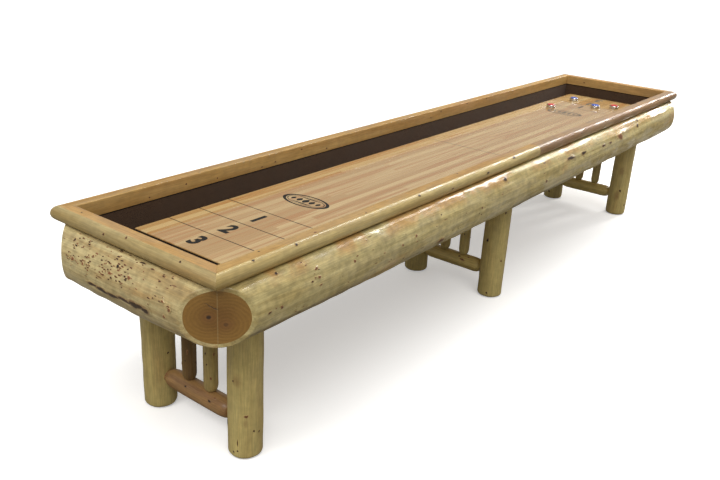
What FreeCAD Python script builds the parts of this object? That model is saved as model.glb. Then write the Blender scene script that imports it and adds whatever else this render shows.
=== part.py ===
"""A long shuffleboard table built in the log-cabin manner, with its four weights.

Millimetres. The origin is on the floor under the middle of the table, X runs along the playfield,
Y across it and Z up. "Near" is the end at -X and "front" is the long side at -Y.
"""
import FreeCAD, Part
import os

import Sketcher
from FreeCAD import Placement, Rotation, Vector

document = FreeCAD.newDocument("ShuffleboardTable")
sheet = document.addObject("Spreadsheet::Sheet", "Sizes")

DRIVING_SIZES = [
    ("playfield_length", 3810, "butcher-block slab, along the table"),
    ("playfield_width", 508, "across the table"),
    ("playfield_thickness", 76, "slab thickness"),
    ("playfield_chamfer", 2, "eased upper edges of the slab"),
    ("playfield_drop", 98, "slab surface below the top of the rail"),
    ("side_gutter", 108, "slab edge to the carpet of the side wall"),
    ("end_gutter", 163, "slab end to the carpet of the end wall"),
    ("carpet_thickness", 3, "gutter carpet"),
    ("board_thickness", 15, "cabinet boards behind the carpet"),
    ("deck_thickness", 18, "cabinet bottom panel"),
    ("floor_carpet_lap", 12, "gutter floor carpet under the slab edge"),
    ("bearer_height", 32, "hardwood bearers between deck and slab"),
    ("bearer_width", 40, "bearers, along the table"),
    ("bearer_inset", 20, "bearer ends inside the slab edge"),
    ("bearer_end_distance", 225, "outermost bearers from the slab ends"),
    ("rail_top_height", 864, "playing rail above the floor"),
    ("rail_thickness", 59, "rail, top to underside"),
    ("rail_flat_width", 44, "flat top of the rail"),
    ("rail_foot_width", 36, "underside of the rail"),
    ("rail_bulge", 25, "how far the half-round outer side stands past the rail's foot"),
    ("rail_overhang", 1, "rail past the face of the wall carpet"),
    ("rail_edge_round", 3, "softened inner edge of the rail"),
    ("back_splice_distance", 867, "joint in the back rail, from the near end of the cabinet"),
    ("log_radius_out", 88, "half-log, outwards from its heart"),
    ("log_radius_up", 108, "half-log, up and down from its heart"),
    ("log_swell", 5, "extra radius at the middle of each half-log"),
    ("log_heart_offset", 7, "heart of the log outside its sawn back"),
    ("log_heart_drop", 102, "heart of the log below its sawn top"),
    ("beam_height", 80, "cross beams, up and down"),
    ("beam_width", 110, "cross beams, along the table"),
    ("beam_gap", 50, "beam ends to the sawn backs of the logs"),
    ("end_leg_inset", 250, "end legs from the end of the cabinet"),
    ("side_leg_inset", 138, "legs from the side of the cabinet"),
    ("leg_radius", 66, "peeled log legs"),
    ("leg_foot_round", 14, "rounded lower edge of a leg"),
    ("leg_clearance", 3, "wood of the leg above the floor"),
    ("leg_recess_radius", 24, "recess for the leveller foot"),
    ("leg_recess_height", 18, "top of the recess above the floor"),
    ("stretcher_radius", 41, "log stretchers between the legs of a pair"),
    ("stretcher_height", 142, "stretcher axis above the floor"),
    ("stretcher_taper", 38, "length of a stretcher's rounded end"),
    ("stretcher_reveal", 5, "end of the taper to the face of the leg"),
    ("stretcher_tenon_radius", 27, "tenon in the leg"),
    ("stretcher_tenon_gap", 2, "tenon end to the axis of the leg"),
    ("spindle_radius", 29, "upright spindles"),
    ("spindle_offset", 60, "spindle axes from the middle of the pair"),
    ("spindle_tenon_radius", 14, "spindle tenons"),
    ("spindle_taper", 28, "bluntly sharpened lower end"),
    ("spindle_top_tenon", 30, "tenon in the beam"),
    ("stem_radius", 5, "leveller screw"),
    ("stem_clearance", 0.05, "screw in its hole, and nut on its rod, on the radius"),
    ("stem_top_height", 70, "top of the leveller screw above the floor"),
    ("stem_hole_spare", 12, "hole past the end of the screw"),
    ("stem_seat_height", 4, "floor of the socket in the foot"),
    ("stem_seat_gap", 0.2, "screw end above the socket floor"),
    ("stem_collar_flats", 14, "hexagonal collar, across its flats"),
    ("stem_collar_height", 5, "collar, up and down"),
    ("foot_radius", 19, "leveller foot"),
    ("foot_rim_height", 5, "straight rim of the foot"),
    ("foot_hub_radius", 12, "top of the foot's cone"),
    ("foot_height", 10, "top of the foot"),
    ("collar_gap", 0.5, "collar above the foot"),
    ("leg_bolt_radius", 6, "bolts that hold a leg to its beam"),
    ("leg_bolt_spread", 28, "bolt axes from the axis of the leg"),
    ("leg_bolt_depth", 60, "bolt in the leg"),
    ("leg_bolt_head_radius", 12, "bolt head"),
    ("leg_bolt_head_height", 8, "bolt head"),
    ("log_screw_radius", 4, "screws through the boards into the logs"),
    ("log_screw_depth", 45, "screw in the log"),
    ("log_screw_head_radius", 7, "screw head"),
    ("log_screw_head_height", 5, "screw head, sunk flush in the board"),
    ("fixing_end_distance", 336, "outermost fixings from the cabinet end"),
    ("fixing_side_distance", 200, "fixings of the end boards from the cabinet side"),
    ("screw_stagger", 90, "log screws beside the dowels, along the board"),
    ("dowel_radius", 4, "dowels between boards and rails"),
    ("dowel_depth", 22, "dowel in each of the two pieces"),
    ("adjuster_spread", 960, "outer adjusters from the middle of the table"),
    ("adjuster_reach", 190, "adjuster brackets from the middle of the slab"),
    ("adjuster_bracket_width", 40, "bracket, along the table"),
    ("adjuster_bracket_depth", 36, "bracket foot, across the table"),
    ("adjuster_plate", 5, "bracket steel"),
    ("adjuster_rod_radius", 5, "threaded adjuster rods"),
    ("adjuster_rod_drop", 15, "rod axis below the slab"),
    ("adjuster_rod_gap", 8, "half the space between rod ends in the nut"),
    ("adjuster_nut_length", 70, "long hexagonal nut"),
    ("adjuster_nut_flats", 17, "nut, across its flats"),
    ("bead_gap", 0.3, "slippery beads between a weight and the slab"),
    ("weight_radius", 29.35, "steel base of a weight"),
    ("weight_base_height", 19, "steel base"),
    ("weight_edge", 1.5, "eased edges of the base"),
    ("weight_cap_radius", 24, "coloured cap"),
    ("weight_cap_seat", 15, "floor of the cap's seat above the underside of the base"),
    ("weight_cap_rim", 20.5, "top of the cap's straight side"),
    ("weight_height", 23, "whole weight"),
    ("weight_cap_round", 3, "sloping edge of the cap"),
    ("blue_weight_a_from_end", 218, "weight from the far end of the slab"),
    ("blue_weight_a_sideways", 130, "weight from the middle line of the table"),
    ("red_weight_a_from_end", 564, "as above"),
    ("red_weight_a_sideways", 141, "as above"),
    ("blue_weight_b_from_end", 329, "as above"),
    ("blue_weight_b_sideways", -69, "as above"),
    ("red_weight_b_from_end", 235, "as above"),
    ("red_weight_b_sideways", -163, "as above"),
]

for row, (alias, value, meaning) in enumerate(DRIVING_SIZES, start=1):
    sheet.set(f"A{row}", alias)
    sheet.set(f"B{row}", str(value))
    sheet.setAlias(f"B{row}", alias)
    sheet.set(f"C{row}", meaning)
document.recompute()

# Distances from the middle of the table, worked out from the driving sizes.
WALL_X = "(Sizes.playfield_length / 2 + Sizes.end_gutter)"
WALL_Y = "(Sizes.playfield_width / 2 + Sizes.side_gutter)"
BOARD_X = f"({WALL_X} + Sizes.carpet_thickness)"
BOARD_Y = f"({WALL_Y} + Sizes.carpet_thickness)"
CABINET_X = f"({BOARD_X} + Sizes.board_thickness)"
CABINET_Y = f"({BOARD_Y} + Sizes.board_thickness)"
MITRE = f"({CABINET_X} - {CABINET_Y})"
LEG_X = f"({CABINET_X} - Sizes.end_leg_inset)"
LEG_Y = f"({CABINET_Y} - Sizes.side_leg_inset)"

# Heights above the floor.
RAIL_UNDER = "(Sizes.rail_top_height - Sizes.rail_thickness)"
FIELD_TOP = "(Sizes.rail_top_height - Sizes.playfield_drop)"
FIELD_UNDER = f"({FIELD_TOP} - Sizes.playfield_thickness)"
DECK_TOP = f"({FIELD_UNDER} - Sizes.bearer_height)"
DECK_UNDER = f"({DECK_TOP} - Sizes.deck_thickness)"
BEAM_UNDER = f"({DECK_UNDER} - Sizes.beam_height)"
LOG_HEART = f"({RAIL_UNDER} - Sizes.log_heart_drop)"
CARPET_TOP = f"({DECK_TOP} + Sizes.carpet_thickness)"

# Turns about Z that carry a piece drawn along the front side to each side of the table.
SIDES = {"front": 0, "far": 90, "back": 180, "near": 270}
# The three pairs of legs, as multiples of LEG_X.
PAIRS = {"near": -1, "middle": 0, "far": 1}

UPRIGHT_ACROSS_X = Rotation(Vector(0, 1, 0), Vector(0, 0, 1), Vector(1, 0, 0), "XYZ")
LOG_SECTION_TURN = Rotation(Vector(0, 0, 1), Vector(0, -1, 0), Vector(1, 0, 0), "XYZ")
ALONG_Y = Rotation(Vector(1, 0, 0), -90)

nodes = []


def amount(expression):
    """The present value of an expression of sheet sizes."""
    return float(sheet.evalExpression(expression))


def bind(thing, **sizes):
    """Drive properties by expressions of sheet sizes."""
    for name, expression in sizes.items():
        thing.setExpression(name, expression)


def place(thing, x="0", y="0", z="0", turn=Rotation()):
    """Put a piece at a place driven by the sheet."""
    thing.Placement = Placement(Vector(), turn)
    bind(thing, **{"Placement.Base.x": x, "Placement.Base.y": y, "Placement.Base.z": z})


def about_z(angle):
    return Rotation(Vector(0, 0, 1), angle)


def node(thing, name):
    """Name a finished sub-part and list it for export."""
    thing.Label = name
    nodes.append(thing)
    return thing


def add(kind, name):
    thing = document.addObject(kind, name)
    thing.Label = name
    return thing


def around(angle, x, y):
    """Where a point drawn for the front side lies after a quarter, half or three-quarter turn."""
    turned = {
        0: (x, y),
        90: (f"-({y})", x),
        180: (f"-({x})", f"-({y})"),
        270: (y, f"-({x})"),
    }
    return turned[angle]


def box(name, x, y, z):
    """A box between low and high expressions on each axis."""
    block = add("Part::Box", name)
    bind(block, Length=f"{x[1]} - ({x[0]})", Width=f"{y[1]} - ({y[0]})", Height=f"{z[1]} - ({z[0]})")
    place(block, x[0], y[0], z[0])
    return block


def rod(name, radius, length, x, y, z, turn=Rotation()):
    """A round bar that starts at a point and runs up, or the way it is turned."""
    bar = add("Part::Cylinder", name)
    bind(bar, Radius=radius, Height=length)
    place(bar, x, y, z, turn)
    return bar


def fuse(name, pieces):
    joined = add("Part::MultiFuse", name)
    joined.Shapes = pieces
    return joined


def gather(name, pieces):
    """A group of separate solids in one object."""
    group = add("Part::Compound", name)
    group.Links = pieces
    return group


def cut(name, base, tool):
    result = add("Part::Cut", name)
    result.Base = base
    result.Tool = tool
    return result


def fix_point(sketch, geometry, end, x, y):
    """Hold a sketch point at a place driven by the sheet."""
    for kind, expression in (("DistanceX", x), ("DistanceY", y)):
        rule = Sketcher.Constraint(kind, -1, 1, geometry, end, amount(expression))
        bind(sketch, **{f"Constraints[{sketch.addConstraint(rule)}]": expression})


def draw_outline(sketch, corners, bulges=None):
    """A closed outline through corners given as pairs of expressions.

    bulges maps the number of a side to how far it bows out to its right as it is walked; that
    side is then an arc of the radius that such a bow has over the side's length.
    """
    bulges = bulges or {}
    points = [Vector(amount(x), amount(y), 0) for x, y in corners]
    for side, start in enumerate(points):
        finish = points[(side + 1) % len(points)]
        if side in bulges:
            along = finish - start
            right = Vector(along.y, -along.x, 0).normalize()
            crown = (start + finish) * 0.5 + right * amount(bulges[side])
            sketch.addGeometry(Part.ArcOfCircle(start, crown, finish))
        else:
            sketch.addGeometry(Part.LineSegment(start, finish))
    for side, (x, y) in enumerate(corners):
        fix_point(sketch, side, 1, x, y)
        following = (side + 1) % len(corners)
        sketch.addConstraint(Sketcher.Constraint("Coincident", side, 2, following, 1))
    for side, bulge in bulges.items():
        start_x, start_y = corners[side]
        finish_x, finish_y = corners[(side + 1) % len(corners)]
        chord = f"(({finish_x}) - ({start_x}))^2 + (({finish_y}) - ({start_y}))^2"
        radius = f"(({chord}) / 4 + ({bulge})^2) / (2 * ({bulge}))"
        rule = Sketcher.Constraint("Radius", side, amount(radius))
        bind(sketch, **{f"Constraints[{sketch.addConstraint(rule)}]": radius})


def draw_circles(sketch, circles):
    """Circles given as expressions: centre x, centre y and radius."""
    for number, (x, y, radius) in enumerate(circles):
        centre = Vector(amount(x), amount(y), 0)
        sketch.addGeometry(Part.Circle(centre, Vector(0, 0, 1), amount(radius)))
        fix_point(sketch, number, 3, x, y)
        rule = Sketcher.Constraint("Radius", number, amount(radius))
        bind(sketch, **{f"Constraints[{sketch.addConstraint(rule)}]": radius})


def body_sketch(body, name, role, height="0"):
    """A sketch on one of the body's own origin planes, or that far along the plane's normal."""
    sketch = body.newObject("Sketcher::SketchObject", name)
    plane = [feature for feature in body.Origin.OriginFeatures if feature.Role == role][0]
    sketch.AttachmentSupport = (plane, [""])
    sketch.MapMode = "FlatFace"
    bind(sketch, **{"AttachmentOffset.Base.z": height})
    return sketch


def turned_body(name, outline, role="XZ_Plane", bulges=None):
    """A body turned on a lathe: an outline of radius and height, revolved about the sketch's V axis."""
    body = add("PartDesign::Body", name)
    sketch = body_sketch(body, f"{name}_outline", role)
    draw_outline(sketch, outline, bulges)
    turning = body.newObject("PartDesign::Revolution", f"{name}_turning")
    turning.Profile = sketch
    turning.ReferenceAxis = (sketch, ["V_Axis"])
    turning.Angle = 360
    return body


def bore(body, name, role, circles, depth=None, height="0", backwards=False):
    """Drill round holes of a depth, or right through, from a sketch, and check that wood was removed."""
    document.recompute()
    before = body.Shape.Volume
    sketch = body_sketch(body, f"{name}_sketch", role, height)
    draw_circles(sketch, circles)
    pocket = body.newObject("PartDesign::Pocket", name)
    pocket.Profile = sketch
    pocket.Reversed = backwards
    if depth is None:
        pocket.Type = "ThroughAll"
    else:
        bind(pocket, Length=depth)
    document.recompute()
    if not body.Shape.Volume < before:
        raise RuntimeError(f"{name} removed nothing")


def extrusion(name, corners, turn, direction, forward, backward, bulges=None):
    """A closed outline drawn on a turned plane and extruded both ways along a direction."""
    sketch = add("Sketcher::SketchObject", f"{name}_outline")
    sketch.Placement = Placement(Vector(), turn)
    draw_outline(sketch, corners, bulges)
    block = add("Part::Extrusion", name)
    block.Base = sketch
    block.DirMode = "Custom"
    block.Dir = direction
    block.Solid = True
    bind(block, LengthFwd=forward, LengthRev=backward)
    return block


def mitred(name, stock, plan, low, high, angle):
    """Trim stock to a plan outline between two heights, and turn it to its side of the table."""
    trim = extrusion(f"{name}_plan", plan, Rotation(), Vector(0, 0, 1), high, f"-({low})")
    piece = add("Part::Common", f"{name}_blank")
    piece.Base = stock
    piece.Tool = trim
    place(piece, turn=about_z(angle))
    return piece


# --- Fixings that pierce more than one piece ------------------------------------------------------

LONG_FIXINGS = 8
END_FIXINGS = 2


def fixing_places(side):
    """Where the fixings of a side lie along it, as drawn for the front side."""
    if side in ("front", "back"):
        reach, count = f"({CABINET_X} - Sizes.fixing_end_distance)", LONG_FIXINGS
    else:
        reach, count = f"({CABINET_Y} - Sizes.fixing_side_distance)", END_FIXINGS
    return [f"({2 * number - count + 1} / {count - 1} * {reach})" for number in range(count)]


def cabinet_reach(side):
    """Sawn backs of the logs from the middle of the table, on a side."""
    return CABINET_Y if side in ("front", "back") else CABINET_X


def make_dowels():
    """Dowels that stand in the top edge of the boards and in the underside of the rails."""
    pieces = []
    for side, angle in SIDES.items():
        line = f"-({cabinet_reach(side)} - Sizes.board_thickness / 2)"
        for number, along in enumerate(fixing_places(side)):
            x, y = around(angle, along, line)
            name = f"{side}_dowel_{number}"
            low = f"{RAIL_UNDER} - Sizes.dowel_depth"
            pieces.append(rod(name, "Sizes.dowel_radius", "2 * Sizes.dowel_depth", x, y, low))
    return gather("rail_dowels", pieces)


def make_log_screws():
    """Screws that run out through the boards into the hearts of the half-logs."""
    pieces = []
    for side, angle in SIDES.items():
        reach = cabinet_reach(side)
        outwards = about_z(angle).multiply(Rotation(Vector(1, 0, 0), 90))
        inner_face = f"-({reach} - Sizes.board_thickness)"
        for number, along in enumerate(fixing_places(side)):
            staggered = f"({along} + Sizes.screw_stagger)"
            x, y = around(angle, staggered, inner_face)
            name = f"{side}_log_screw_{number}"
            length = "Sizes.board_thickness + Sizes.log_screw_depth"
            shank = rod(f"{name}_shank", "Sizes.log_screw_radius", length, x, y, LOG_HEART, outwards)
            head_length = "Sizes.log_screw_head_height"
            head = rod(f"{name}_head", "Sizes.log_screw_head_radius", head_length, x, y, LOG_HEART, outwards)
            pieces.append(fuse(name, [shank, head]))
    return gather("log_screws", pieces)


def make_leg_bolts():
    """Two bolts down through each beam into the head of each leg."""
    pieces = []
    for pair, sign in PAIRS.items():
        for side, hand in (("front", -1), ("back", 1)):
            for number, shift in enumerate((-1, 1)):
                x = f"({sign} * {LEG_X} + {shift} * Sizes.leg_bolt_spread)"
                y = f"({hand} * {LEG_Y})"
                name = f"{pair}_{side}_leg_bolt_{number}"
                low = f"({BEAM_UNDER} - Sizes.leg_bolt_depth)"
                shank_length = f"{DECK_UNDER} - {low}"
                shank = rod(f"{name}_shank", "Sizes.leg_bolt_radius", shank_length, x, y, low)
                head_low = f"({DECK_UNDER} - Sizes.leg_bolt_head_height)"
                head_height = "Sizes.leg_bolt_head_height"
                head = rod(f"{name}_head", "Sizes.leg_bolt_head_radius", head_height, x, y, head_low)
                pieces.append(fuse(name, [shank, head]))
    return gather("leg_bolts", pieces)


dowels = node(make_dowels(), "rail_dowels")
log_screws = node(make_log_screws(), "log_screws")
leg_bolts = node(make_leg_bolts(), "leg_bolts")


# --- Half-logs round the cabinet ------------------------------------------------------------------

def make_half_log(side):
    """A log sawn flat behind and on top, mitred at both ends, with its two corners nipped off.

    The stock is lofted through three upright ellipses. In plan the back runs between the mitres,
    which meet the nip planes at the heart of the log.
    """
    angle = SIDES[side]
    mitre = MITRE if side in ("front", "back") else f"-({MITRE})"
    back = cabinet_reach(side)
    heart = f"({back} + Sizes.log_heart_offset)"
    reach = f"({heart} + {mitre})"
    sections = []
    for place_name, shift, swell in (
        ("left", f"-({reach})", "0"),
        ("middle", "0", "Sizes.log_swell"),
        ("right", reach, "0"),
    ):
        section = add("Part::Ellipse", f"{side}_log_{place_name}_section")
        bind(section, MajorRadius=f"Sizes.log_radius_up + {swell}")
        bind(section, MinorRadius=f"Sizes.log_radius_out + {swell}")
        place(section, shift, f"-({heart})", LOG_HEART, LOG_SECTION_TURN)
        sections.append(section)
    stock = add("Part::Loft", f"{side}_log_stock")
    stock.Sections = sections
    stock.Solid = True
    beyond = "(Sizes.log_radius_out + 2 * Sizes.log_swell)"
    plan = [
        (f"-({back} + {mitre})", f"-({back})"),
        (f"-({reach})", f"-({heart})"),
        (f"-({reach} - {beyond})", f"-({heart} + {beyond})"),
        (f"({reach} - {beyond})", f"-({heart} + {beyond})"),
        (reach, f"-({heart})"),
        (f"({back} + {mitre})", f"-({back})"),
    ]
    blank = mitred(f"{side}_log", stock, plan, "0", RAIL_UNDER, angle)
    return cut(f"{side}_log", blank, log_screws)


for side_name, log_name in (
    ("front", "front_log"), ("back", "back_log"), ("near", "near_end_log"), ("far", "far_end_log"),
):
    node(make_half_log(side_name), log_name)


# --- Top rails ------------------------------------------------------------------------------------

def make_rail(name, side, left=None, right=None):
    """A rail with a flat top and a half-round outer side, mitred or sawn square at each end.

    left and right are the places of square ends, as drawn for the front side.
    """
    long_side = side in ("front", "back")
    mitre = MITRE if long_side else f"-({MITRE})"
    inner = f"({WALL_Y if long_side else WALL_X} - Sizes.rail_overhang)"
    outer = f"({inner} + Sizes.rail_flat_width + Sizes.rail_bulge)"
    foot = f"({inner} + Sizes.rail_foot_width)"
    flat = f"({inner} + Sizes.rail_flat_width)"
    rounded = "Sizes.rail_edge_round"
    profile = [
        (f"-({inner})", RAIL_UNDER),
        (f"-({inner})", f"(Sizes.rail_top_height - {rounded})"),
        (f"-({inner} + {rounded})", "Sizes.rail_top_height"),
        (f"-({flat})", "Sizes.rail_top_height"),
        (f"-({foot})", RAIL_UNDER),
    ]
    span = f"({outer} + {mitre})"
    edge_bow = f"({rounded} * (1 - sqrt(2) / 2))"
    bows = {1: edge_bow, 3: "Sizes.rail_bulge"}
    stock = extrusion(
        f"{name}_stock", profile, UPRIGHT_ACROSS_X, Vector(1, 0, 0), span, span, bows)
    plan = [
        (left or f"-({inner} + {mitre})", f"-({inner})"),
        (left or f"-({outer} + {mitre})", f"-({outer})"),
        (right or f"({outer} + {mitre})", f"-({outer})"),
        (right or f"({inner} + {mitre})", f"-({inner})"),
    ]
    blank = mitred(name, stock, plan, RAIL_UNDER, "Sizes.rail_top_height", SIDES[side])
    return cut(name, blank, dowels)


BACK_SPLICE = f"({CABINET_X} - Sizes.back_splice_distance)"
node(make_rail("front_rail_near", "front", right="0"), "front_rail_near")
node(make_rail("front_rail_far", "front", left="0"), "front_rail_far")
node(make_rail("back_rail_near", "back", left=BACK_SPLICE), "back_rail_near")
node(make_rail("back_rail_far", "back", right=BACK_SPLICE), "back_rail_far")
node(make_rail("near_end_rail", "near"), "near_end_rail")
node(make_rail("far_end_rail", "far"), "far_end_rail")


# --- Cabinet: deck, boards and carpet -------------------------------------------------------------

def both_ways(reach):
    """From minus to plus a distance."""
    return (f"-({reach})", reach)


def beside(sign, near, far):
    """The span between two distances on the negative or the positive side."""
    return (near, far) if sign > 0 else (f"-({far})", f"-({near})")


node(box("deck", both_ways(CABINET_X), both_ways(CABINET_Y), (DECK_UNDER, DECK_TOP)), "deck")

fixings = gather("cabinet_fixings", [dowels, log_screws])
for sign, name in ((-1, "front_side_board"), (1, "back_side_board")):
    across = beside(sign, BOARD_Y, CABINET_Y)
    blank = box(f"{name}_blank", both_ways(BOARD_X), across, (DECK_TOP, RAIL_UNDER))
    node(cut(name, blank, fixings), name)
for sign, name in ((-1, "near_end_board"), (1, "far_end_board")):
    along = beside(sign, BOARD_X, CABINET_X)
    blank = box(f"{name}_blank", along, both_ways(CABINET_Y), (DECK_TOP, RAIL_UNDER))
    node(cut(name, blank, fixings), name)

strips = []
for sign, label in ((-1, "near"), (1, "far")):
    walls = (CARPET_TOP, RAIL_UNDER)
    side_y = beside(sign, WALL_Y, BOARD_Y)
    end_x = beside(sign, WALL_X, BOARD_X)
    strips.append(box(f"side_wall_strip_{label}", both_ways(BOARD_X), side_y, walls))
    strips.append(box(f"end_wall_strip_{label}", end_x, both_ways(WALL_Y), walls))
node(gather("gutter_wall_carpets", strips), "gutter_wall_carpets")

under_x = "(Sizes.playfield_length / 2 - Sizes.floor_carpet_lap)"
under_y = "(Sizes.playfield_width / 2 - Sizes.floor_carpet_lap)"
floor_span = (DECK_TOP, CARPET_TOP)
floor_blank = box("floor_carpet_blank", both_ways(BOARD_X), both_ways(BOARD_Y), floor_span)
floor_opening = box("floor_carpet_opening", both_ways(under_x), both_ways(under_y), floor_span)
node(cut("gutter_floor_carpet", floor_blank, floor_opening), "gutter_floor_carpet")


# --- Playfield, its bearers and its adjusters -----------------------------------------------------

def make_playfield():
    """The slab, padded from its outline, with its upper edges eased."""
    body = add("PartDesign::Body", "playfield")
    sketch = body_sketch(body, "playfield_outline", "XY_Plane", FIELD_UNDER)
    (left, right) = both_ways("(Sizes.playfield_length / 2)")
    (low, high) = both_ways("(Sizes.playfield_width / 2)")
    draw_outline(sketch, [(left, low), (right, low), (right, high), (left, high)])
    slab = body.newObject("PartDesign::Pad", "playfield_slab")
    slab.Profile = sketch
    bind(slab, Length="Sizes.playfield_thickness")
    document.recompute()
    surface = max(range(len(slab.Shape.Faces)), key=lambda index: slab.Shape.Faces[index].BoundBox.ZMin)
    easing = body.newObject("PartDesign::Chamfer", "playfield_easing")
    easing.Base = (slab, [f"Face{surface + 1}"])
    bind(easing, Size="Sizes.playfield_chamfer")
    return body


node(make_playfield(), "playfield")

BEARERS = 8
bearers = []
for number in range(BEARERS):
    reach = "(Sizes.playfield_length / 2 - Sizes.bearer_end_distance)"
    middle = f"({2 * number - BEARERS + 1} / {BEARERS - 1} * {reach})"
    along = (f"({middle} - Sizes.bearer_width / 2)", f"({middle} + Sizes.bearer_width / 2)")
    across = both_ways("(Sizes.playfield_width / 2 - Sizes.bearer_inset)")
    bearers.append(box(f"bearer_{number}", along, across, (DECK_TOP, FIELD_UNDER)))
node(gather("bearers", bearers), "bearers")

ROD_HEIGHT = f"({FIELD_UNDER} - Sizes.adjuster_rod_drop)"


def make_adjuster(x):
    """One adjuster: two brackets under the slab, two threaded half-rods and a long nut between them."""
    brackets = []
    rods = []
    for sign in (-1, 1):
        name = f"adjuster_{len(adjuster_brackets)}_{'front' if sign < 0 else 'back'}"
        along = (f"({x} - Sizes.adjuster_bracket_width / 2)", f"({x} + Sizes.adjuster_bracket_width / 2)")
        outer = "(Sizes.adjuster_reach + Sizes.adjuster_bracket_depth)"
        foot_z = (f"({FIELD_UNDER} - Sizes.adjuster_plate)", FIELD_UNDER)
        foot = box(f"{name}_foot", along, beside(sign, "Sizes.adjuster_reach", outer), foot_z)
        upright_y = beside(sign, "Sizes.adjuster_reach", "(Sizes.adjuster_reach + Sizes.adjuster_plate)")
        upright_z = (f"({ROD_HEIGHT} - 2 * Sizes.adjuster_rod_radius)", FIELD_UNDER)
        upright = box(f"{name}_upright", along, upright_y, upright_z)
        length = "(Sizes.adjuster_reach + Sizes.adjuster_plate - Sizes.adjuster_rod_gap)"
        start = "Sizes.adjuster_rod_gap" if sign > 0 else f"-(Sizes.adjuster_rod_gap + {length})"
        half_rod = rod(f"{name}_rod", "Sizes.adjuster_rod_radius", length, x, start, ROD_HEIGHT, ALONG_Y)
        brackets.append(cut(f"{name}_bracket", fuse(f"{name}_angle", [foot, upright]), half_rod))
        rods.append(half_rod)
    return brackets, rods


def hexagon(flats):
    """Corners of a hexagon of a width across its flats, standing on a corner."""
    corner = f"({flats} / sqrt(3))"
    half = f"({flats} / 2)"
    low = f"({corner} / 2)"
    return [
        ("0", f"-{corner}"), (half, f"-{low}"), (half, low),
        ("0", corner), (f"-{half}", low), (f"-{half}", f"-{low}"),
    ]


def make_adjuster_nut(name, x):
    """A long hexagonal nut on the ends of both half-rods."""
    body = add("PartDesign::Body", name)
    sketch = body_sketch(body, f"{name}_outline", "XZ_Plane", "-Sizes.adjuster_nut_length / 2")
    draw_outline(sketch, hexagon("Sizes.adjuster_nut_flats"))
    pad = body.newObject("PartDesign::Pad", f"{name}_bar")
    pad.Profile = sketch
    bind(pad, Length="Sizes.adjuster_nut_length")
    radius = "(Sizes.adjuster_rod_radius + Sizes.stem_clearance)"
    bore(body, f"{name}_bore", "XZ_Plane", [("0", "0", radius)], height="Sizes.adjuster_nut_length")
    place(body, x, "0", ROD_HEIGHT)
    return body


adjuster_brackets = []
adjuster_rods = []
for pair, sign in PAIRS.items():
    adjuster_x = f"({sign} * Sizes.adjuster_spread)"
    new_brackets, new_rods = make_adjuster(adjuster_x)
    adjuster_brackets += new_brackets
    adjuster_rods += new_rods
    node(make_adjuster_nut(f"{pair}_adjuster_nut", adjuster_x), f"{pair}_adjuster_nut")
node(gather("adjuster_brackets", adjuster_brackets), "adjuster_brackets")
node(gather("adjuster_rods", adjuster_rods), "adjuster_rods")


# --- Trestles: beams, legs, stretchers, spindles and levellers ------------------------------------

def make_leg(name, x, y, turn):
    """A peeled log with a recess and a screw hole below, bolt holes above and a mortise inside."""
    hole = "(Sizes.stem_radius + Sizes.stem_clearance)"
    hole_top = "(Sizes.stem_top_height + Sizes.stem_hole_spare)"
    rounded = "Sizes.leg_foot_round"
    outline = [
        ("0", hole_top),
        (hole, hole_top),
        (hole, "Sizes.leg_recess_height"),
        ("Sizes.leg_recess_radius", "Sizes.leg_recess_height"),
        ("Sizes.leg_recess_radius", "Sizes.leg_clearance"),
        (f"(Sizes.leg_radius - {rounded})", "Sizes.leg_clearance"),
        ("Sizes.leg_radius", f"(Sizes.leg_clearance + {rounded})"),
        ("Sizes.leg_radius", BEAM_UNDER),
        ("0", BEAM_UNDER),
    ]
    body = turned_body(name, outline, bulges={5: f"({rounded} * (1 - sqrt(2) / 2))"})
    bolts = [(f"{shift} * Sizes.leg_bolt_spread", "0", "Sizes.leg_bolt_radius") for shift in (-1, 1)]
    bore(body, f"{name}_bolt_holes", "XY_Plane", bolts, "Sizes.leg_bolt_depth", BEAM_UNDER)
    mortise = [("0", "Sizes.stretcher_height", "Sizes.stretcher_tenon_radius")]
    bore(body, f"{name}_mortise", "XZ_Plane", mortise)
    place(body, x, y, turn=turn)
    return body


def make_stretcher(name, x):
    """A log whose rounded ends run into round tenons, with two mortises for the spindles."""
    tenon = "Sizes.stretcher_tenon_radius"
    tip = f"({LEG_Y} - Sizes.stretcher_tenon_gap)"
    shoulder = f"({LEG_Y} - Sizes.leg_radius - Sizes.stretcher_reveal)"
    straight = f"({shoulder} - Sizes.stretcher_taper)"
    outline = [
        ("0", f"-{tip}"), (tenon, f"-{tip}"), (tenon, f"-{shoulder}"),
        ("Sizes.stretcher_radius", f"-{straight}"), ("Sizes.stretcher_radius", straight),
        (tenon, shoulder), (tenon, tip), ("0", tip),
    ]
    bow = "(Sizes.stretcher_taper / 6)"
    body = turned_body(name, outline, "XY_Plane", {2: bow, 4: bow})
    mortises = [("0", f"{shift} * Sizes.spindle_offset", "Sizes.spindle_tenon_radius") for shift in (-1, 1)]
    bore(body, f"{name}_mortises", "XY_Plane", mortises, backwards=True)
    place(body, x, "0", "Sizes.stretcher_height")
    return body


def make_spindle(name, x, y):
    """An upright whose lower end is bluntly sharpened down to its tenon."""
    tenon = "Sizes.spindle_tenon_radius"
    base = "Sizes.stretcher_height"
    neck = f"({base} + Sizes.stretcher_radius)"
    top = f"({BEAM_UNDER} + Sizes.spindle_top_tenon)"
    outline = [
        ("0", base), (tenon, base), (tenon, neck),
        ("Sizes.spindle_radius", f"({neck} + Sizes.spindle_taper)"), ("Sizes.spindle_radius", BEAM_UNDER),
        (tenon, BEAM_UNDER), (tenon, top), ("0", top),
    ]
    body = turned_body(name, outline)
    place(body, x, y)
    return body


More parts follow.
